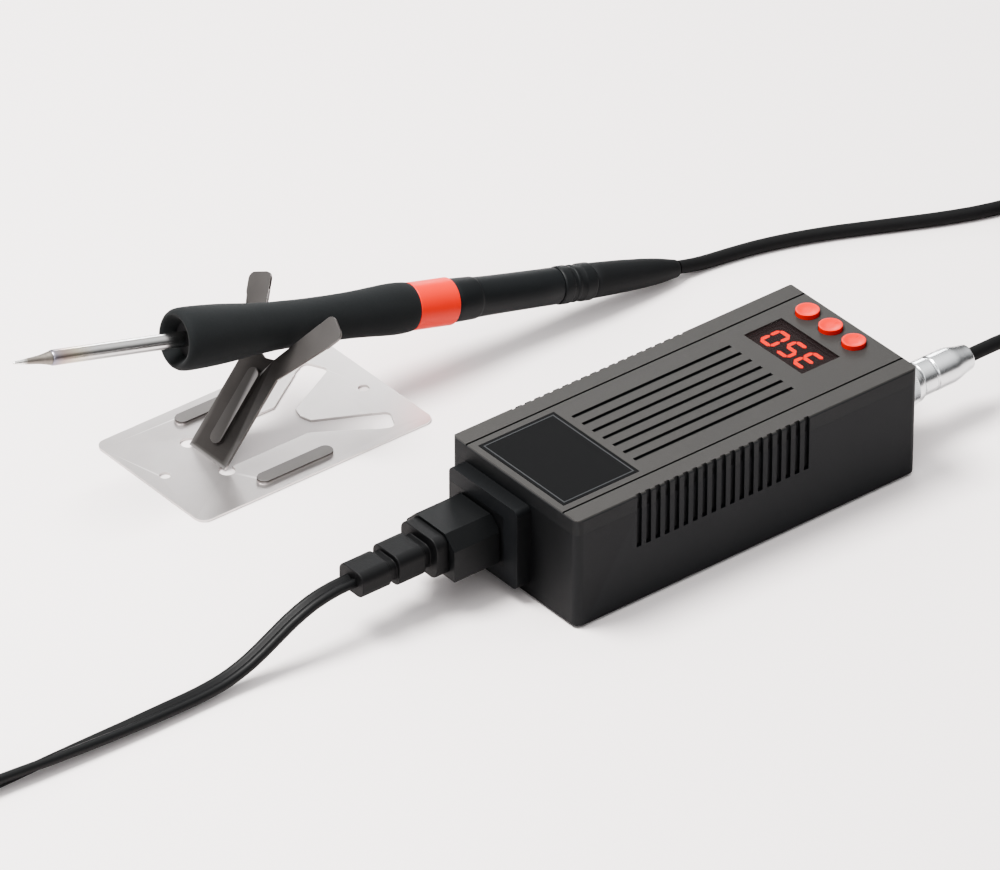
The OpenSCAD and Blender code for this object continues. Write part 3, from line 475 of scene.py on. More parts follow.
mainsCord = {
    "width": 0.0068,
    "thickness": 0.0034,
    "fromRelief": [(-0.1354, 0.0125, 0.0215), (-0.143, 0.0125, 0.0213), (-0.152, 0.0125, 0.0198),
                   (-0.161, 0.0125, 0.0164), (-0.170, 0.0124, 0.0118), (-0.179, 0.0122, 0.0076),
                   (-0.189, 0.012, 0.0048), (-0.200, 0.0118, 0.0038), (-0.213, 0.0118, 0.0037),
                   (-0.228, 0.012, 0.0037), (-0.244, 0.0125, 0.0037), (-0.261, 0.0132, 0.0037),
                   (-0.279, 0.0141, 0.0037), (-0.298, 0.015, 0.0037), (-0.318, 0.0158, 0.0037),
                   (-0.340, 0.016, 0.0037)],
    "toPlug": [(-0.384, 0.060, 0.0102), (-0.3841, 0.068, 0.010), (-0.3843, 0.077, 0.0092),
               (-0.3846, 0.086, 0.0081), (-0.3849, 0.095, 0.0072), (-0.385, 0.105, 0.0069)],
}
ironCable = {
    "diameter": 0.005,
    "fromBoot": [(0.0904, 0.1129, 0.0044), (0.097, 0.1122, 0.0032), (0.104, 0.1114, 0.0026),
                 (0.113, 0.110, 0.0025), (0.124, 0.1076, 0.0025), (0.136, 0.1039, 0.0025),
                 (0.149, 0.0988, 0.0025), (0.162, 0.0927, 0.0025), (0.175, 0.0864, 0.0025),
                 (0.188, 0.0804, 0.0025), (0.201, 0.0754, 0.0025), (0.214, 0.0721, 0.0025),
                 (0.228, 0.071, 0.0026)],
    "fromPlug": [(0.0989, -0.014, 0.0215), (0.110, -0.014, 0.0215), (0.121, -0.014, 0.0215),
                 (0.131, -0.014, 0.0214), (0.140, -0.0136, 0.0202), (0.149, -0.0128, 0.0168),
                 (0.158, -0.0114, 0.012), (0.167, -0.0094, 0.0074), (0.177, -0.0068, 0.0044),
                 (0.188, -0.0034, 0.004), (0.199, 0, 0.005), (0.213, 0.0036, 0.0068),
                 (0.228, 0.005, 0.0076)],
}


def curveMesh(name, line, profile=None, radius=0.0, rolls=None):
    # one open curve through the line, swept with a round bead or with a profile curve
    data = bpy.data.curves.new(name, "CURVE")
    data.dimensions = "3D"
    data.twist_mode = "Z_UP"
    data.use_fill_caps = True
    spline = data.splines.new("POLY")
    spline.points.add(len(line) - 1)
    for i, (point, place) in enumerate(zip(spline.points, line)):
        point.co = (*place, 1)
        point.tilt = rolls[i] if rolls else 0
    if profile:
        data.bevel_mode = "OBJECT"
        data.bevel_object = profile
    else:
        data.bevel_depth = radius
        data.bevel_resolution = 5
    obj = bpy.data.objects.new(name, data)
    scene.collection.objects.link(obj)
    pick(obj)
    bpy.ops.object.convert(target="MESH")
    obj = bpy.context.object
    editAll(obj)
    bpy.ops.mesh.remove_doubles(threshold=0.00001)
    bpy.ops.mesh.select_all(action="SELECT")
    bpy.ops.mesh.normals_make_consistent(inside=False)
    leave()
    bpy.ops.object.shade_smooth_by_angle(angle=math.radians(50))
    return obj


def twinProfile(width, thickness, perSide=9):
    # outline of two round cores side by side, joined by a narrow web
    radius = thickness / 2
    reach = width / 2 - radius
    start = math.radians(28)
    data = bpy.data.curves.new("twinProfile", "CURVE")
    data.dimensions = "2D"
    spline = data.splines.new("POLY")
    points = []
    for side in (1, -1):
        for i in range(perSide):
            angle = -math.pi + start + (2 * math.pi - 2 * start) * i / (perSide - 1)
            points.append((side * (reach + radius * math.cos(angle)), side * radius * math.sin(angle)))
    spline.points.add(len(points) - 1)
    for point, (x, y) in zip(spline.points, points):
        point.co = (x, y, 0, 1)
    spline.use_cyclic_u = True
    obj = bpy.data.objects.new("twinProfile", data)
    scene.collection.objects.link(obj)
    return obj


def makeMainsCord():
    lead = smoothLine(mainsCord["fromRelief"], 0.004)
    tail = smoothLine(mainsCord["toPlug"], 0.004)
    wound = coilLine(coils["mains"])
    line = lead + wound + tail
    rolls = []
    for i in range(len(line)):
        after = eased(i / (len(lead) - 1), 0.35, 0.95)
        before = eased((i - len(lead) - len(wound)) / (len(tail) - 1), 0.3, 0.95)
        rolls.append(math.pi / 2 * (after - before))
    profile = twinProfile(mainsCord["width"], mainsCord["thickness"])
    obj = curveMesh("mainsCord", line, profile=profile, rolls=rolls)
    bpy.data.objects.remove(profile)
    return obj, line


def makeIronCable():
    lead = smoothLine(ironCable["fromBoot"], 0.003)
    tail = smoothLine(ironCable["fromPlug"], 0.003)
    line = lead + coilLine(coils["iron"]) + tail[::-1]
    return curveMesh("ironCable", line, radius=ironCable["diameter"] / 2), line


tie = {"thickness": 0.0006, "width": 0.0035, "lift": 0.0001}


def makeTie(name, coil, cordWidth, cordHeight, degrees, inner, outer):
    # a thin strap bent round the strands where they lie side by side, with its small head on top
    low = tie["lift"] + tie["thickness"] / 2
    top = coil["high"] + cordHeight / 2 + tie["thickness"] * 0.6
    near, far = inner - cordWidth / 2 - tie["thickness"] / 2, outer + cordWidth / 2 + tie["thickness"] / 2
    corner = min(0.0022, cordWidth / 2)
    angle = math.radians(degrees)
    deselect()
    bpy.ops.mesh.primitive_cube_add(size=1, location=(0, 0, 0))
    obj = bpy.context.object
    obj.name = name
    placeMesh(obj, Matrix.Translation(((near + far) / 2, 0, (low + top) / 2))
              @ Matrix.Diagonal((far - near, tie["width"], top - low, 1)))
    chooseFaces(obj, lambda centre, normal: abs(normal.y) > 0.9)
    bpy.ops.mesh.delete(type="ONLY_FACE")
    bpy.ops.mesh.select_mode(type="EDGE")
    bpy.ops.mesh.select_all(action="SELECT")
    leave()
    for edge in obj.data.edges:
        ends = [obj.data.vertices[v].co for v in edge.vertices]
        edge.select = abs(ends[0].y - ends[1].y) > tie["width"] / 2
    bpy.ops.object.mode_set(mode="EDIT")
    bpy.ops.mesh.bevel(offset=corner, segments=5, affect="EDGES")
    leave()
    solid = obj.modifiers.new("strap", "SOLIDIFY")
    solid.thickness = tie["thickness"]
    solid.offset = 0
    bpy.ops.object.modifier_apply(modifier=solid.name)
    editAll(obj)
    bpy.ops.mesh.normals_make_consistent(inside=False)
    leave()
    bpy.ops.mesh.primitive_cube_add(size=1, location=(0, 0, 0))
    head = bpy.context.object
    placeMesh(head, Matrix.Translation(((near + far) / 2 + 0.001, 0, top + 0.0009))
              @ Matrix.Diagonal((0.005, tie["width"] + 0.0014, 0.0024, 1)))
    pick(obj)
    head.select_set(True)
    bpy.ops.object.join()
    rounded(obj, 0.00025, 2)
    placeMesh(obj, Matrix.Translation((*coil["centre"], 0)) @ Matrix.Rotation(angle, 4, "Z"))
    return obj


mainsLine = None
mainsPiece, mainsLine = makeMainsCord()
cablePiece, cableLine = makeIronCable()
print("cords made: mains", round(lineLength(mainsLine), 3), "m, iron cable", round(lineLength(cableLine), 3), "m")

mainsTie = makeTie("mainsTie", coils["mains"], 0.0034, 0.0068, 90, 0.0371, 0.0405)
cableTie = makeTie("cableTie", coils["iron"], 0.005, 0.005, 0, 0.0229, 0.0280)
settle(mainsPiece, finishes["cordBlack"], "mains_lead", "mains_cord_pvc", "mains_cord", "mains_coil")
settle(mainsTie, finishes["tieBlack"], "mains_lead", "connector_pvc")
settle(cableTie, finishes["tieBlack"], "base", "connector_pvc")
cablePiece.data.materials.clear()
cablePiece.data.materials.append(finishes["cableBlack"])
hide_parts("hand_cable_iron", "hand_coil", "hand_cable_plug")
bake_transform(cablePiece)


# ---- controller case ----

caseEdges = {"shell": 0.0005, "cover": 0.0004, "segments": 2}

shell = softened("bottom_shell", "caseShell", caseEdges["shell"], caseEdges["segments"])
settle(shell, finishes["caseBlack"], "base", "case_shell", "bottom_shell")
cover = softened("top_cover", "caseCover", caseEdges["cover"], caseEdges["segments"])


def coverPaintedTopLightFinish():
    # painted light: the top face is painted a lighter grey for the light it catches from above, while the sides and
    # groove floors stay as black as the shell
    f = Finish("coverPaintedTopLight", Specular_IOR_Level=0.40)
    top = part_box("top_cover")[1].z
    # mask of the top face, where the painted light goes
    face = f.between(f.axis("Z"), top - 0.00045, top - 0.00015)
    drift = f.noise(28, 3)
    fine = f.noise(2400, 2, 0.6)
    worn = f.between(f.noise(300, 5, 0.7), 0.60, 0.78) * 0.12
    # painted light: the lit grey of the top face, with random tone drift and a little real wear
    paintedLitGreyWithWear = f.mix(drift, (0.037, 0.0355, 0.0340), (0.048, 0.0460, 0.0440))
    paintedLitGreyWithWear = f.mix(worn, paintedLitGreyWithWear, (0.085, 0.081, 0.077))
    black = f.mix(f.edges() * 0.5, mouldings["caseBlack"][0], (0.018, 0.020, 0.022))
    f.put(Base_Color=f.mix(face, black, paintedLitGreyWithWear), Roughness=(0.50 - face * 0.05 + drift * 0.08 + fine * 0.08).clamped())
    f.put(Normal=f.relief(fine, 0.028 * mm, f.relief(drift, 0.05 * mm)))
    return f.material


settle(cover, coverPaintedTopLightFinish(), "base", "case_cover", "top_cover")
print("case softened")

label = {"edge": 0.00022, "lineInset": 0.0011, "lineWidth": 0.0004, "lineRise": 0.00008}


def makeLabel():
    # the plate with a fine raised border line round its blank face
    obj = mended("label_plate", "labelPlate")
    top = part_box("label_plate")[1].z
    for inset, rise in ((label["lineInset"], 0), (0.0001, label["lineRise"]),
                        (label["lineWidth"], 0), (0.0001, -label["lineRise"])):
        chooseFaces(obj, lambda centre, normal: False)
        leave()
        faces = [p for p in obj.data.polygons if p.normal.z > 0.99 and centreOfPlate(p, obj)]
        for face in faces:
            face.select = True
        bpy.ops.object.mode_set(mode="EDIT")
        bpy.ops.mesh.inset(thickness=inset)
        if rise:
            bpy.ops.transform.translate(value=(0, 0, rise))
        leave()
    rounded(obj, label["edge"], 2)
    return obj, top


def centreOfPlate(face, obj):
    low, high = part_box("label_plate")
    middle = (low + high) / 2
    return abs(face.center.x - middle.x) < 0.0004 and abs(face.center.y - middle.y) < 0.0004 \
        and face.area == max(p.area for p in obj.data.polygons if p.normal.z > 0.99)


labelPlate, labelTop = makeLabel()


def labelFinish():
    f = Finish("labelSheet", Specular_IOR_Level=0.12)
    low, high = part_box("label_plate")
    middle = (low + high) / 2
    half = (high - low) / 2
    at = f.moved(location=(-middle.x, -middle.y, 0))
    across = (f.axis("X", at).absolute() - (half.x - label["lineInset"] - label["lineWidth"] * 0.75)).absolute()
    along = (f.axis("Y", at).absolute() - (half.y - label["lineInset"] - label["lineWidth"] * 0.75)).absolute()
    insideX = f.axis("X", at).absolute() < half.x - label["lineInset"]
    insideY = f.axis("Y", at).absolute() < half.y - label["lineInset"]
    line = ((across < label["lineWidth"] * 0.7) * insideY + (along < label["lineWidth"] * 0.7) * insideX)
    smear = f.noise(60, 4, 0.6)
    fine = f.noise(2200, 2)
    body = f.mix(smear, (0.0035, 0.0037, 0.0042), (0.0065, 0.0068, 0.0075))
    body = f.mix(line.clamped() * 0.7, body, (0.075, 0.078, 0.082))
    f.put(Base_Color=body, Roughness=0.42 + smear * 0.10 + fine * 0.05)
    f.put(Normal=f.relief(fine, 0.006 * mm))
    return f.material


settle(labelPlate, labelFinish(), "base", "label_black", "label_plate")

keys = {"edge": 0.0006, "shortEdge": 0.00012,
        "dish": ((0.80, 0.0), (0.78, 0.00026), (0.50, 0.00016)),    # share of the width kept, and drop
        "nodes": {"button_minus": "minus_key", "button_plus": "plus_key", "button_set": "set_key"}}


def makeKey(node):
    # the cap's flat top is drawn in and down, ring by ring, into a shallow dish
    obj = mended(node, node.replace("button_", "key_"))
    low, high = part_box(node)
    middle = (low + high) / 2
    editAll(obj)
    bpy.ops.mesh.remove_doubles(threshold=keys["shortEdge"])
    leave()
    chooseFaces(obj, lambda centre, normal: normal.z > 0.99 and high.z - centre.z < 0.0002)
    bpy.ops.mesh.dissolve_faces()
    for share, drop in keys["dish"]:
        bpy.ops.mesh.extrude_region_move()
        bpy.ops.transform.resize(value=(share, share, 1), center_override=(middle.x, middle.y, high.z))
        bpy.ops.transform.translate(value=(0, 0, -drop))
    leave()
    rounded(obj, keys["edge"], 4, 35)
    return obj


for node, body in keys["nodes"].items():
    settle(makeKey(node), finishes["keyRed"], body, "button_red", node)
print("keys dished")


def windowFinish():
    f = Finish("smokedWindow", Alpha=0.42, Coat_Weight=0.6, Coat_Roughness=0.06, IOR=1.49)
    smear = f.noise(70, 4, 0.6)
    f.put(Base_Color=f.mix(smear, (0.010, 0.0012, 0.0012), (0.022, 0.003, 0.003)), Roughness=0.10 + smear * 0.12)
    return f.material


def segmentFinish():
    # lit bars, their glow varied by a fine noise
    f = Finish("litSegment", Roughness=0.4, Emission_Strength=3.2)
    glow = f.noise(900, 2)
    f.put(Base_Color=f.mix(glow, (0.60, 0.03, 0.015), (0.80, 0.06, 0.03)),
          Emission_Color=f.mix(glow, (1.0, 0.030, 0.010), (1.0, 0.07, 0.022)))
    return f.material


lens = softened("display_window", "windowLens", 0.0003, 3)
settle(lens, windowFinish(), "base", "display_lens", "display_window")
paint(segmentFinish(), "display_segments")
feet = softened("rubber_feet", "rubberFeet", 0.00045, 3)
settle(feet, finishes["footRubber"], "base", "foot_rubber", "rubber_feet")


def boardFinish(name, colour, spacing):
    # solder resist over traces, with bright pads where the cells have their middles
    f = Finish(name)
    at = f.moved(scale=(1, 1, 0))
    cell = f.cells(1 / spacing, at)
    maze = f.noise(1 / spacing * 0.8, 2, 0.4, at)
    trace = (f.between((maze - 0.5).absolute(), 0.035, 0.02)) * 0.7
    pad = cell < 0.17
    fibre = f.noise(1500, 3)
    body = f.mix(fibre, shade(colour, 0.85), shade(colour, 1.15))
    body = f.mix(trace, body, shade(colour, 1.9))
    body = f.mix(pad, body, (0.72, 0.70, 0.64))
    f.put(Base_Color=body, Metallic=pad, Roughness=0.34 + fibre * 0.12 - pad * 0.10)
    f.put(Normal=f.relief(trace + pad, 0.03 * mm))
    return f.material


def ferriteFinish():
    f = Finish("ferriteGrey")
    grit = f.noise(1300, 5, 0.7)
    f.put(Base_Color=f.mix(grit, (0.020, 0.020, 0.022), (0.060, 0.059, 0.060)), Roughness=0.55 + grit * 0.2)
    f.put(Normal=f.relief(grit, 0.04 * mm))
    return f.material


def copperWindings():
    # enamelled wire wound round the ring, in radial turns, with painted shade between the turns and painted highlight
    # on their crests
    f = Finish("copperWindings", Metallic=0.9, Coat_Weight=0.4)
    low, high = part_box("filter_choke")
    middle = (low + high) / 2
    at = f.moved(location=(-middle.x, -middle.y, 0))
    turn = f.node("ShaderNodeMath", {"operation": "ARCTAN2"}, [f.axis("Y", at), f.axis("X", at)])
    wire = (turn * 30).wrapped(1.0)
    crestBumpAndPaintedShade = 1 - (wire - 0.5).absolute() * 2
    dirt = f.noise(300, 3)
    # painted shade: each turn's colour darkens from its crest into the gaps between turns
    body = f.mix(crestBumpAndPaintedShade, (0.16, 0.045, 0.012), (0.72, 0.30, 0.12))
    f.put(Base_Color=f.mix(dirt * 0.3, body, (0.30, 0.11, 0.05)), Roughness=0.30 + dirt * 0.12)
    f.put(Normal=f.relief(crestBumpAndPaintedShade, 0.25 * mm))
    return f.material


def sleeveFinish():
    # shrink sleeve with one pale stripe, and bare aluminium at the top
    f = Finish("capacitorSleeve")
    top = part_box("electrolytic_capacitors")[1].z
    height = f.axis("Z")
    bare = height > top - 0.0002
    stripe = (f.noise(55, 0) > 0.62) * 0.5
    wrinkle = f.noise(500, 3)
    body = f.mix(stripe, (0.012, 0.016, 0.030), (0.30, 0.31, 0.33))
    f.put(Base_Color=f.mix(bare, body, (0.70, 0.70, 0.71)), Metallic=bare, Roughness=0.26 + wrinkle * 0.14)
    f.put(Normal=f.relief(wrinkle, 0.02 * mm))
    return f.material


def fuseFinish():
    # clear glass with a metal cap at each end
    f = Finish("fuseGlass", IOR=1.5)
    low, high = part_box("line_fuse")
    middle = (low.x + high.x) / 2
    half = (high.x - low.x) / 2
    cap = (f.axis("X") - middle).absolute() > half - 0.0045
    smear = f.noise(400, 3)
    f.put(Base_Color=f.mix(cap, (0.80, 0.84, 0.86), (0.68, 0.67, 0.64)), Metallic=cap,
          Roughness=0.08 + cap * 0.2 + smear * 0.06, Alpha=cap * 0.6 + 0.4)
    return f.material


def chipFinish():
    f = Finish("chipEpoxy")
    grit = f.noise(1800, 4, 0.6)
    f.put(Base_Color=f.mix(grit, (0.010, 0.010, 0.011), (0.026, 0.026, 0.028)), Roughness=0.5 + grit * 0.2)
    f.put(Normal=f.relief(grit, 0.02 * mm))
    return f.material


chip = chipFinish()
paint(chip, "control_chip", "power_semiconductors")
paint(boardFinish("controlBoardGreen", (0.012, 0.105, 0.035), 0.0022), "control_board")
paint(boardFinish("powerBoardGreen", (0.020, 0.130, 0.050), 0.0034), "power_board")
paint(ferriteFinish(), "transformer_core")
paint(finishes["windingTape"], "transformer_winding")
paint(sleeveFinish(), "electrolytic_capacitors")
paint(copperWindings(), "filter_choke")
paint(finishes["filmYellow"], "film_capacitor")
paint(fuseFinish(), "line_fuse")
paint(finishes["sinkAluminium"], "heat_sinks")
paint(finishes["ribbonGrey"], "control_ribbon")
paint(finishes["switchBlack"], "tact_switches")
paint(finishes["ledBlack"], "display_module")
paint(finishes["screwSteel"], "case_screws", "board_screws")
paint(finishes["inletBlack"], "mains_inlet")
paint(finishes["bladeNickel"], "inlet_blades")
paint(finishes["contactBrass"], "socket_pins", "connector_contacts")
paint(finishes["socketChrome"], "output_socket", "socket_nut")
print("controller finished")


# ---- mains lead ----

lead = {"connectorEdge": 0.0011, "reliefEdge": 0.0010, "plugEdge": 0.0022}

connector = softened("mains_connector", "mainsConnector", lead["connectorEdge"], 4, 28)
settle(connector, finishes["connectorBlack"], "mains_lead", "connector_pvc", "mains_connector")
relief = softened("mains_strain_relief", "strainRelief", lead["reliefEdge"], 4, 40)
settle(relief, finishes["reliefBlack"], "mains_lead", "connector_pvc", "mains_strain_relief")
plug = softened("mains_plug", "mainsPlug", lead["plugEdge"], 5, 25)
settle(plug, finishes["connectorBlack"], "mains_lead", "connector_pvc", "mains_plug")

pins = {"sleeve": 0.010, "edge": 0.0009}


def pinFinish():
    # a black insulating sleeve for the half next to the plug, then bright metal
    f = Finish("plugPin")
    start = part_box("mains_plug_pins")[0].y
    metal = f.axis("Y") > start + pins["sleeve"]
    scratch = f.noise(1, 4, 0.6, f.moved(scale=(900, 90, 900)))
    body = f.mix(metal, (0.012, 0.012, 0.013), (0.72, 0.72, 0.70))
    f.put(Base_Color=f.mix(scratch * 0.25, body, (0.30, 0.30, 0.30)), Metallic=metal,
          Roughness=0.45 - metal * 0.22 + scratch * 0.08)
    return f.material


plugPins = softened("mains_plug_pins", "mainsPlugPins", pins["edge"], 3)
settle(plugPins, pinFinish(), "mains_lead", "blade_nickel", "mains_plug_pins")
print("mains lead finished")


# ---- output plug ----

outputPlug = {
    "ridges": 64, "ridgeDepth": 0.045, "nutBore": 6.15,
    # (millimetres from the end of the nut, share of the nut's radius)
    "nut": [(0, 0.90), (0.5, 0.965), (1.6, 0.965), (1.7, 1.0), (9.9, 1.0), (10.0, 0.955), (12.2, 0.955), (13, 0.87)],
    # (millimetres along the shell, share of its radius)
    "shell": [(0, 0.94), (0.4, 1.0), (5.5, 1.0), (5.7, 0.93), (6.6, 0.93), (6.8, 1.0), (14.9, 1.0), (17.5, 0.93),
              (20.5, 0.80), (23.4, 0.73), (24, 0.69)],
}


def onSocketAxis(obj, start):
    low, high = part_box("coupling_nut")
    placeMesh(obj, Matrix.Translation((start, (low.y + high.y) / 2, (low.z + high.z) / 2)))


def makeNut():
    low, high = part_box("coupling_nut")
    radius = (high.z - low.z) / 2 / mm
    rings = [(x, share * radius) for x, share in outputPlug["nut"]]
    bore = outputPlug["nutBore"]
    obj = turned("couplingNut", rings, 2 * outputPlug["ridges"], [(rings[-1][0], bore - 0.8), (9.8, bore - 0.8),
                                                                  (9.8, bore), (0, bore)])
    chooseVertices(obj, lambda co: 0.0016 < co.x < 0.01 and math.hypot(co.y, co.z) > 0.99 * radius * mm
                   and round(math.atan2(co.z, co.y) / math.pi * outputPlug["ridges"]) % 2 == 0)
    share = 1 - outputPlug["ridgeDepth"]
    bpy.ops.transform.resize(value=(1, share, share), center_override=(0, 0, 0))
    leave()
    onSocketAxis(obj, low.x)
    rounded(obj, 0.00012, 1, 50)
    return obj


def makeShell():
    low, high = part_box("plug_shell")
    radius = (high.z - low.z) / 2 / mm
    rings = [(x, share * radius) for x, share in outputPlug["shell"]]
    end = rings[-1][0]
    obj = turned("plugShell", rings, 72, [(end, 2.75), (14.9, 2.75), (14.9, 5.3), (0, 5.3)])
    onSocketAxis(obj, low.x)
    rounded(obj, 0.00025, 2, 35)
    return obj


settle(makeNut(), finishes["nutChrome"], "nut", "nut_chrome", "coupling_nut")
settle(makeShell(), finishes["nutChrome"], "shell", "nut_chrome", "plug_shell")
paint(finishes["insertBlack"], "plug_insert")
paint(finishes["clampZinc"], "cable_clamp")
print("output plug finished")


# ---- soldering iron ----

# The iron's axis runs through the middles of its front insert and its coloured ring
iron = {
    "frontStation": 74, "ringStation": 173,   # millimetres from the point of the tip
    "sleeve": [(66, 9.3), (66.25, 9.75), (66.8, 10.3), (67.7, 10.75), (69.2, 10.97), (71, 11), (74, 10.95),
               (78, 10.8), (82, 10.58), (86, 10.3), (90, 9.93), (94, 9.5), (98, 9.12), (103, 8.72), (107, 8.45),
               (112, 8.3), (117, 8.1), (122, 8.0), (128, 7.98), (134, 8.02), (140, 8.15), (145, 8.4),
               (150.5, 8.75), (154, 8.98), (157.5, 9.1), (160.5, 9.03), (162.6, 8.86), (163.8, 8.68), (164.4, 8.45)],
    "sleeveBore": [(164.4, 6), (71, 6), (67.2, 8.0), (66.1, 8.7)],
    "rear": [(181.6, 7.6), (182, 7.8), (184, 7.78), (188, 7.65), (191.6, 7.52), (192.1, 7.4), (192.5, 7.18),
             (193, 7.14), (200, 6.95), (209.5, 6.8), (218, 6.7), (227.8, 6.6), (228.4, 6.35)],
    "rearBore": [(228.4, 5), (181.6, 6)],
    "collar": [(228.6, 6.5), (229.1, 6.85), (229.5, 6.9), (232.2, 6.9), (232.6, 6.85), (233.1, 6.45), (234.4, 6.45),
               (234.7, 6.7), (235.6, 6.7), (235.9, 6.45), (237.6, 6.45), (238.2, 6.78), (238.6, 6.8), (242.0, 6.8),
               (242.5, 6.72), (242.9, 6.45)],
    "collarBore": [(242.9, 4.6), (228.6, 4.6)],
    "boot": [(243.1, 6.2), (243.4, 6.38), (246, 6.3), (249, 6.2), (254, 6.0), (258, 5.82), (262, 5.55), (267, 5.25),
             (270.5, 4.9), (274.5, 4.45), (277.2, 4.0), (279, 3.66), (280.6, 3.4), (281.6, 3.22), (282, 3.0)],
    "bootBore": [(282, 2.55), (243.1, 2.55)],
    "tube": [(15, 2.4), (15.3, 2.62), (16, 2.75), (20, 2.75), (60, 2.75), (100, 2.75), (138.9, 2.75)],
    "tip": [(0.05, 0.16), (0.2, 0.34), (0.6, 0.5), (2, 0.66), (4, 0.88), (6.5, 1.14), (9, 1.34), (11, 1.6), (12.4, 1.86),
            (13.6, 2.12), (14.4, 2.32), (14.9, 2.36)],
}
frontPoint = sum(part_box("nose_insert"), Vector()) / 2
ringPoint = sum(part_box("colour_ring"), Vector()) / 2
along = (ringPoint - frontPoint).normalized()
across = Vector((0, 0, 1)).cross(along).normalized()
upward = along.cross(across)
tipPoint = frontPoint - along * iron["frontStation"] * mm
ironFrame = Matrix.Translation(tipPoint) @ Matrix((along, across, upward)).transposed().to_4x4()
ironTurn = ironFrame.to_3x3().inverted().to_euler()
print("iron axis length check", round((ringPoint - frontPoint).length * 1000, 2), "of 99 mm")


def onIron(name, rings, bore, edge, sides=96, angle=32):
    obj = turned(name, rings, sides, bore)
    placeMesh(obj, ironFrame)
    if edge:
        rounded(obj, edge, 2, angle)
    else:
        pick(obj)
        bpy.ops.object.shade_smooth_by_angle(angle=math.radians(angle))
    return obj


def alongIron(f):
    # coordinates measured along the iron's own axis, from the point of the tip
    local = ironFrame.inverted()
    turn = local.to_euler()
    return f.node("ShaderNodeMapping", {}, {"Vector": f.place, "Location": local.to_translation(),
                                            "Rotation": turn})


def gripFinish():
    # matte moulded rubber, a little polished where it is held
    f = Finish("gripSleeve", Sheen_Weight=0.06, Sheen_Roughness=0.6, Specular_IOR_Level=0.30)
    at = alongIron(f)
    station = f.axis("X", at)
    held = f.between(station, 0.072, 0.084) * (1 - f.between(station, 0.100, 0.125))
    patch = f.noise(55, 4, 0.6)
    pores = f.noise(1500, 3, 0.65)
    fleck = f.between(f.noise(650, 5, 0.75), 0.62, 0.78)
    body = f.mix(patch, (0.0095, 0.0112, 0.0122), (0.0155, 0.0178, 0.0192))
    body = f.mix(fleck * 0.16, body, (0.060, 0.064, 0.066))
    f.put(Base_Color=body, Roughness=(0.74 + pores * 0.12 - held * patch * 0.16).clamped())
    f.put(Normal=f.relief(pores, 0.05 * mm, f.relief(patch, 0.08 * mm)))
    return f.material


def tubeFinish():
    # drawn stainless tube, straw to blue where the heat creeps up behind the tip
    f = Finish("cartridgeTube", Metallic=1.0)
    at = alongIron(f)
    station = f.axis("X", at)
    drawn = f.noise(1, 4, 0.6, f.node("ShaderNodeMapping", {}, {"Vector": at, "Scale": (60, 2600, 2600)}))
    heat = f.between(station, 0.032, 0.015)
    hue = f.ramp(heat, (0.0, (0.66, 0.655, 0.65)), (0.45, (0.60, 0.54, 0.44)), (0.75, (0.42, 0.33, 0.30)),
                 (1.0, (0.25, 0.24, 0.30)))
    stain = f.noise(160, 4, 0.6)
    f.put(Base_Color=f.mix(stain * 0.35, hue, (0.48, 0.47, 0.46)), Roughness=0.17 + drawn * 0.14 + heat * 0.10)
    f.put(Normal=f.relief(drawn, 0.008 * mm))
    return f.material


def tipFinish():
    # iron-plated cone: tinned and bright at the point, oxidised behind
    f = Finish("tipCone", Metallic=1.0)
    station = f.axis("X", alongIron(f))
    blotch = f.noise(700, 4, 0.7)
    dull = f.between(station + blotch * 0.002, 0.0045, 0.0065)
    body = f.mix(blotch, (0.20, 0.185, 0.17), (0.36, 0.33, 0.30))
    f.put(Base_Color=f.mix(dull, (0.78, 0.77, 0.75), body), Roughness=0.16 + dull * 0.30 + blotch * 0.08)
    f.put(Normal=f.relief(blotch, 0.02 * mm))
    return f.material


settle(onIron("gripSleeve", iron["sleeve"], iron["sleeveBore"], 0, 96, 50), gripFinish(), "iron", "grip_rubber",
       "grip_sleeve")
settle(onIron("rearHandle", iron["rear"], iron["rearBore"], 0, 96, 40), finishes["handleBlack"], "iron",
       "handle_plastic", "rear_handle")
settle(onIron("rearCollar", iron["collar"], iron["collarBore"], 0.00012, 72), finishes["collarBlack"], "iron",
       "handle_plastic", "rear_collar")
settle(onIron("cableBoot", iron["boot"], iron["bootBore"], 0, 72, 45), finishes["bootBlack"], "iron",
       "boot_rubber", "cable_boot")
settle(onIron("cartridgeTube", iron["tube"], None, 0, 64, 30), tubeFinish(), "tip", "tube_steel", "heater_tube")
settle(onIron("tipCone", iron["tip"], None, 0, 48, 45), tipFinish(), "tip", "tip_iron", "tip_point")
ring = softened("colour_ring", "colourRing", 0.0004, 3)
settle(ring, finishes["ringRed"], "iron", "ring_red", "colour_ring")
paint(finishes["insertBlack"], "nose_insert", "handle_core")
paint(finishes["nylonCream"], "contact_carrier")
paint(finishes["springBronze"], "contact_springs")
paint(finishes["ceramicWhite"], "cartridge_insulators")
paint(finishes["contactBrass"], "cartridge_contacts")
print("iron finished")


# ---- stand ----

stand = {"edge": 0.00035}


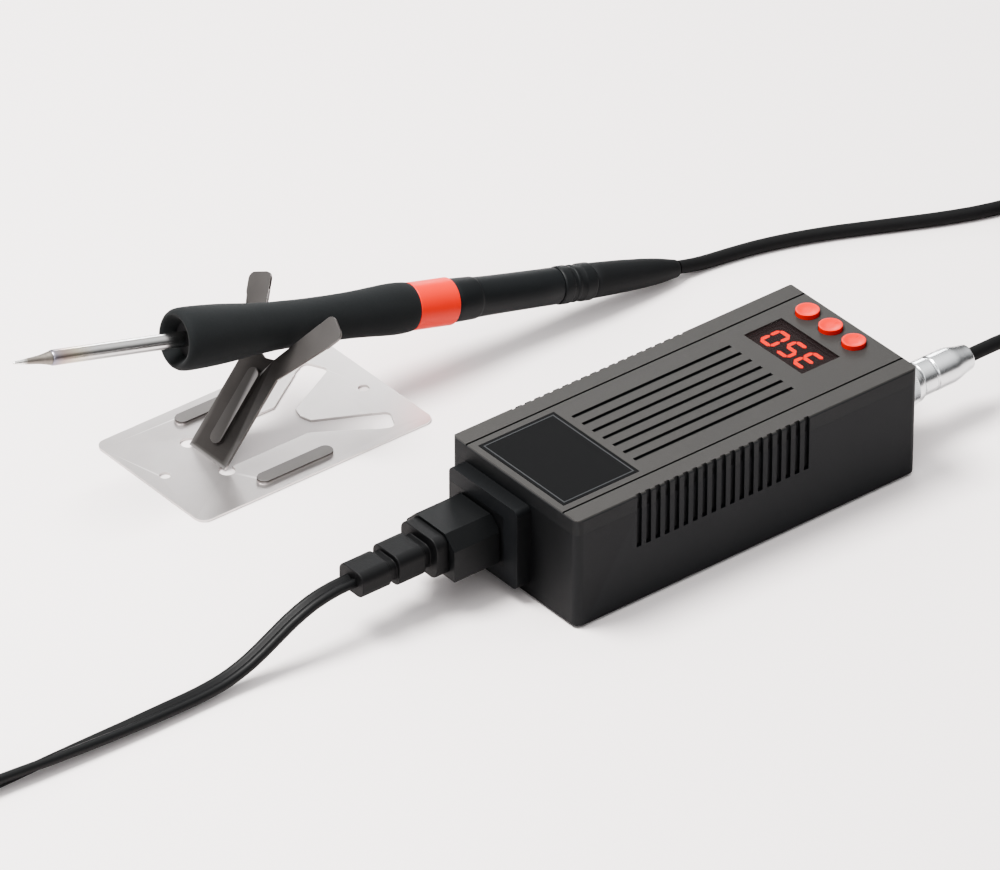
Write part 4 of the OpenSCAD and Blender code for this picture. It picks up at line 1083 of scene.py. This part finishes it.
def sheetFinish():
    # cold-rolled stainless: fine rolling lines, soft smudges, painted shade on the fork and ribs, and a painted
    # highlight at the cut edges
    f = Finish("standSheet", Metallic=1.0)
    rolled = f.noise(1, 4, 0.6, f.moved(scale=(140, 2400, 2400)))
    smudge = f.noise(38, 5, 0.6)
    scratch = f.between(f.noise(1, 5, 0.75, f.moved(turn=(0, 0, 0.7), scale=(60, 1900, 300))), 0.66, 0.75)
    body = f.mix(smudge, (0.50, 0.475, 0.470), (0.64, 0.610, 0.603))
    raisedPaintedShadeMask = f.between(f.axis("Z"), 0.00125, 0.00190)    # painted shade: the fork and the ribs are painted darker than the plate, for the dark surroundings they reflect, and are rougher
    body = f.mix(raisedPaintedShadeMask, body, f.mix(smudge, (0.115, 0.108, 0.104), (0.165, 0.155, 0.150)))
    # painted highlight: brighter colour along the cut edges and rib outlines
    body = f.mix(f.edges(0.52, 0.60) * 0.7, body, (0.84, 0.82, 0.81))
    f.put(Base_Color=f.mix(scratch * 0.3, body, (0.40, 0.40, 0.40)),
          Roughness=0.26 + smudge * 0.14 + rolled * 0.08 - scratch * 0.05 + raisedPaintedShadeMask * 0.08)
    f.put(Normal=f.relief(rolled, 0.006 * mm, f.relief(smudge, 0.10 * mm)))
    return f.material


standPiece = softened("stand", "standSheet", stand["edge"], 3, 25)
settle(standPiece, sheetFinish(), "base", "stand_steel", "stand")
print("stand finished")


# ---- cord lengths, computed and not used ----

lineLength(mainsLine)
lineLength(cableLine)


# ---- floor and light ----

room = {"floor": 6.0, "floorColour": (0.88, 0.835, 0.830), "zenith": 1.5, "horizon": 0.12,
        "look": "AgX - High Contrast"}


def floorFinish():
    f = Finish("studioFloor", Specular_IOR_Level=0.2)
    cloud = f.noise(2.2, 2)
    f.put(Base_Color=f.mix(cloud, shade(room["floorColour"], 0.985), room["floorColour"]), Roughness=0.75 + cloud * 0.1)
    return f.material


deselect()
bpy.ops.mesh.primitive_plane_add(size=room["floor"], location=(0, 0, 0))
floor = bpy.context.object
floor.name = "studioFloor"
floor.data.materials.append(floorFinish())

lights = {
    # name: (place, size, watts, colour)
    "keyLight": ((-0.45, 0.35, 1.20), 0.60, 23.0, (1.0, 0.985, 0.965)),
    "fillLight": ((-0.85, -0.85, 0.60), 0.70, 2.6, (0.97, 0.985, 1.0)),
    "stripLight": ((0.70, 0.95, 0.42), 0.35, 2.2, (1.0, 1.0, 1.0)),
}
for name, (place, size, watts, colour) in lights.items():
    bpy.ops.object.light_add(type="AREA", location=place)
    lamp = bpy.context.object
    lamp.name = name
    lamp.data.shape = "DISK"
    lamp.data.size = size
    lamp.data.energy = watts
    lamp.data.color = colour
    lamp.rotation_mode = "QUATERNION"
    lamp.rotation_quaternion = (Vector((-0.02, 0.05, 0.0)) - Vector(place)).to_track_quat("-Z", "Y")



def addWorld():
    # bright overhead and dim near the horizon, so that gloss has something to show
    world = bpy.data.worlds.new("studioWorld")
    world.use_nodes = True
    tree = world.node_tree
    place = tree.nodes.new("ShaderNodeTexCoord")
    split = tree.nodes.new("ShaderNodeSeparateXYZ")
    ramp = tree.nodes.new("ShaderNodeValToRGB")
    low, high = ramp.color_ramp.elements
    low.position, high.position = 0.30, 0.95
    low.color = (*[room["horizon"]] * 3, 1)
    high.color = (*[room["zenith"]] * 3, 1)
    tree.links.new(place.outputs["Generated"], split.inputs[0])
    tree.links.new(split.outputs["Z"], ramp.inputs[0])
    tree.links.new(ramp.outputs["Color"], tree.nodes["Background"].inputs["Color"])
    scene.world = world


addWorld()
scene.view_settings.look = room["look"]
print("lights placed")
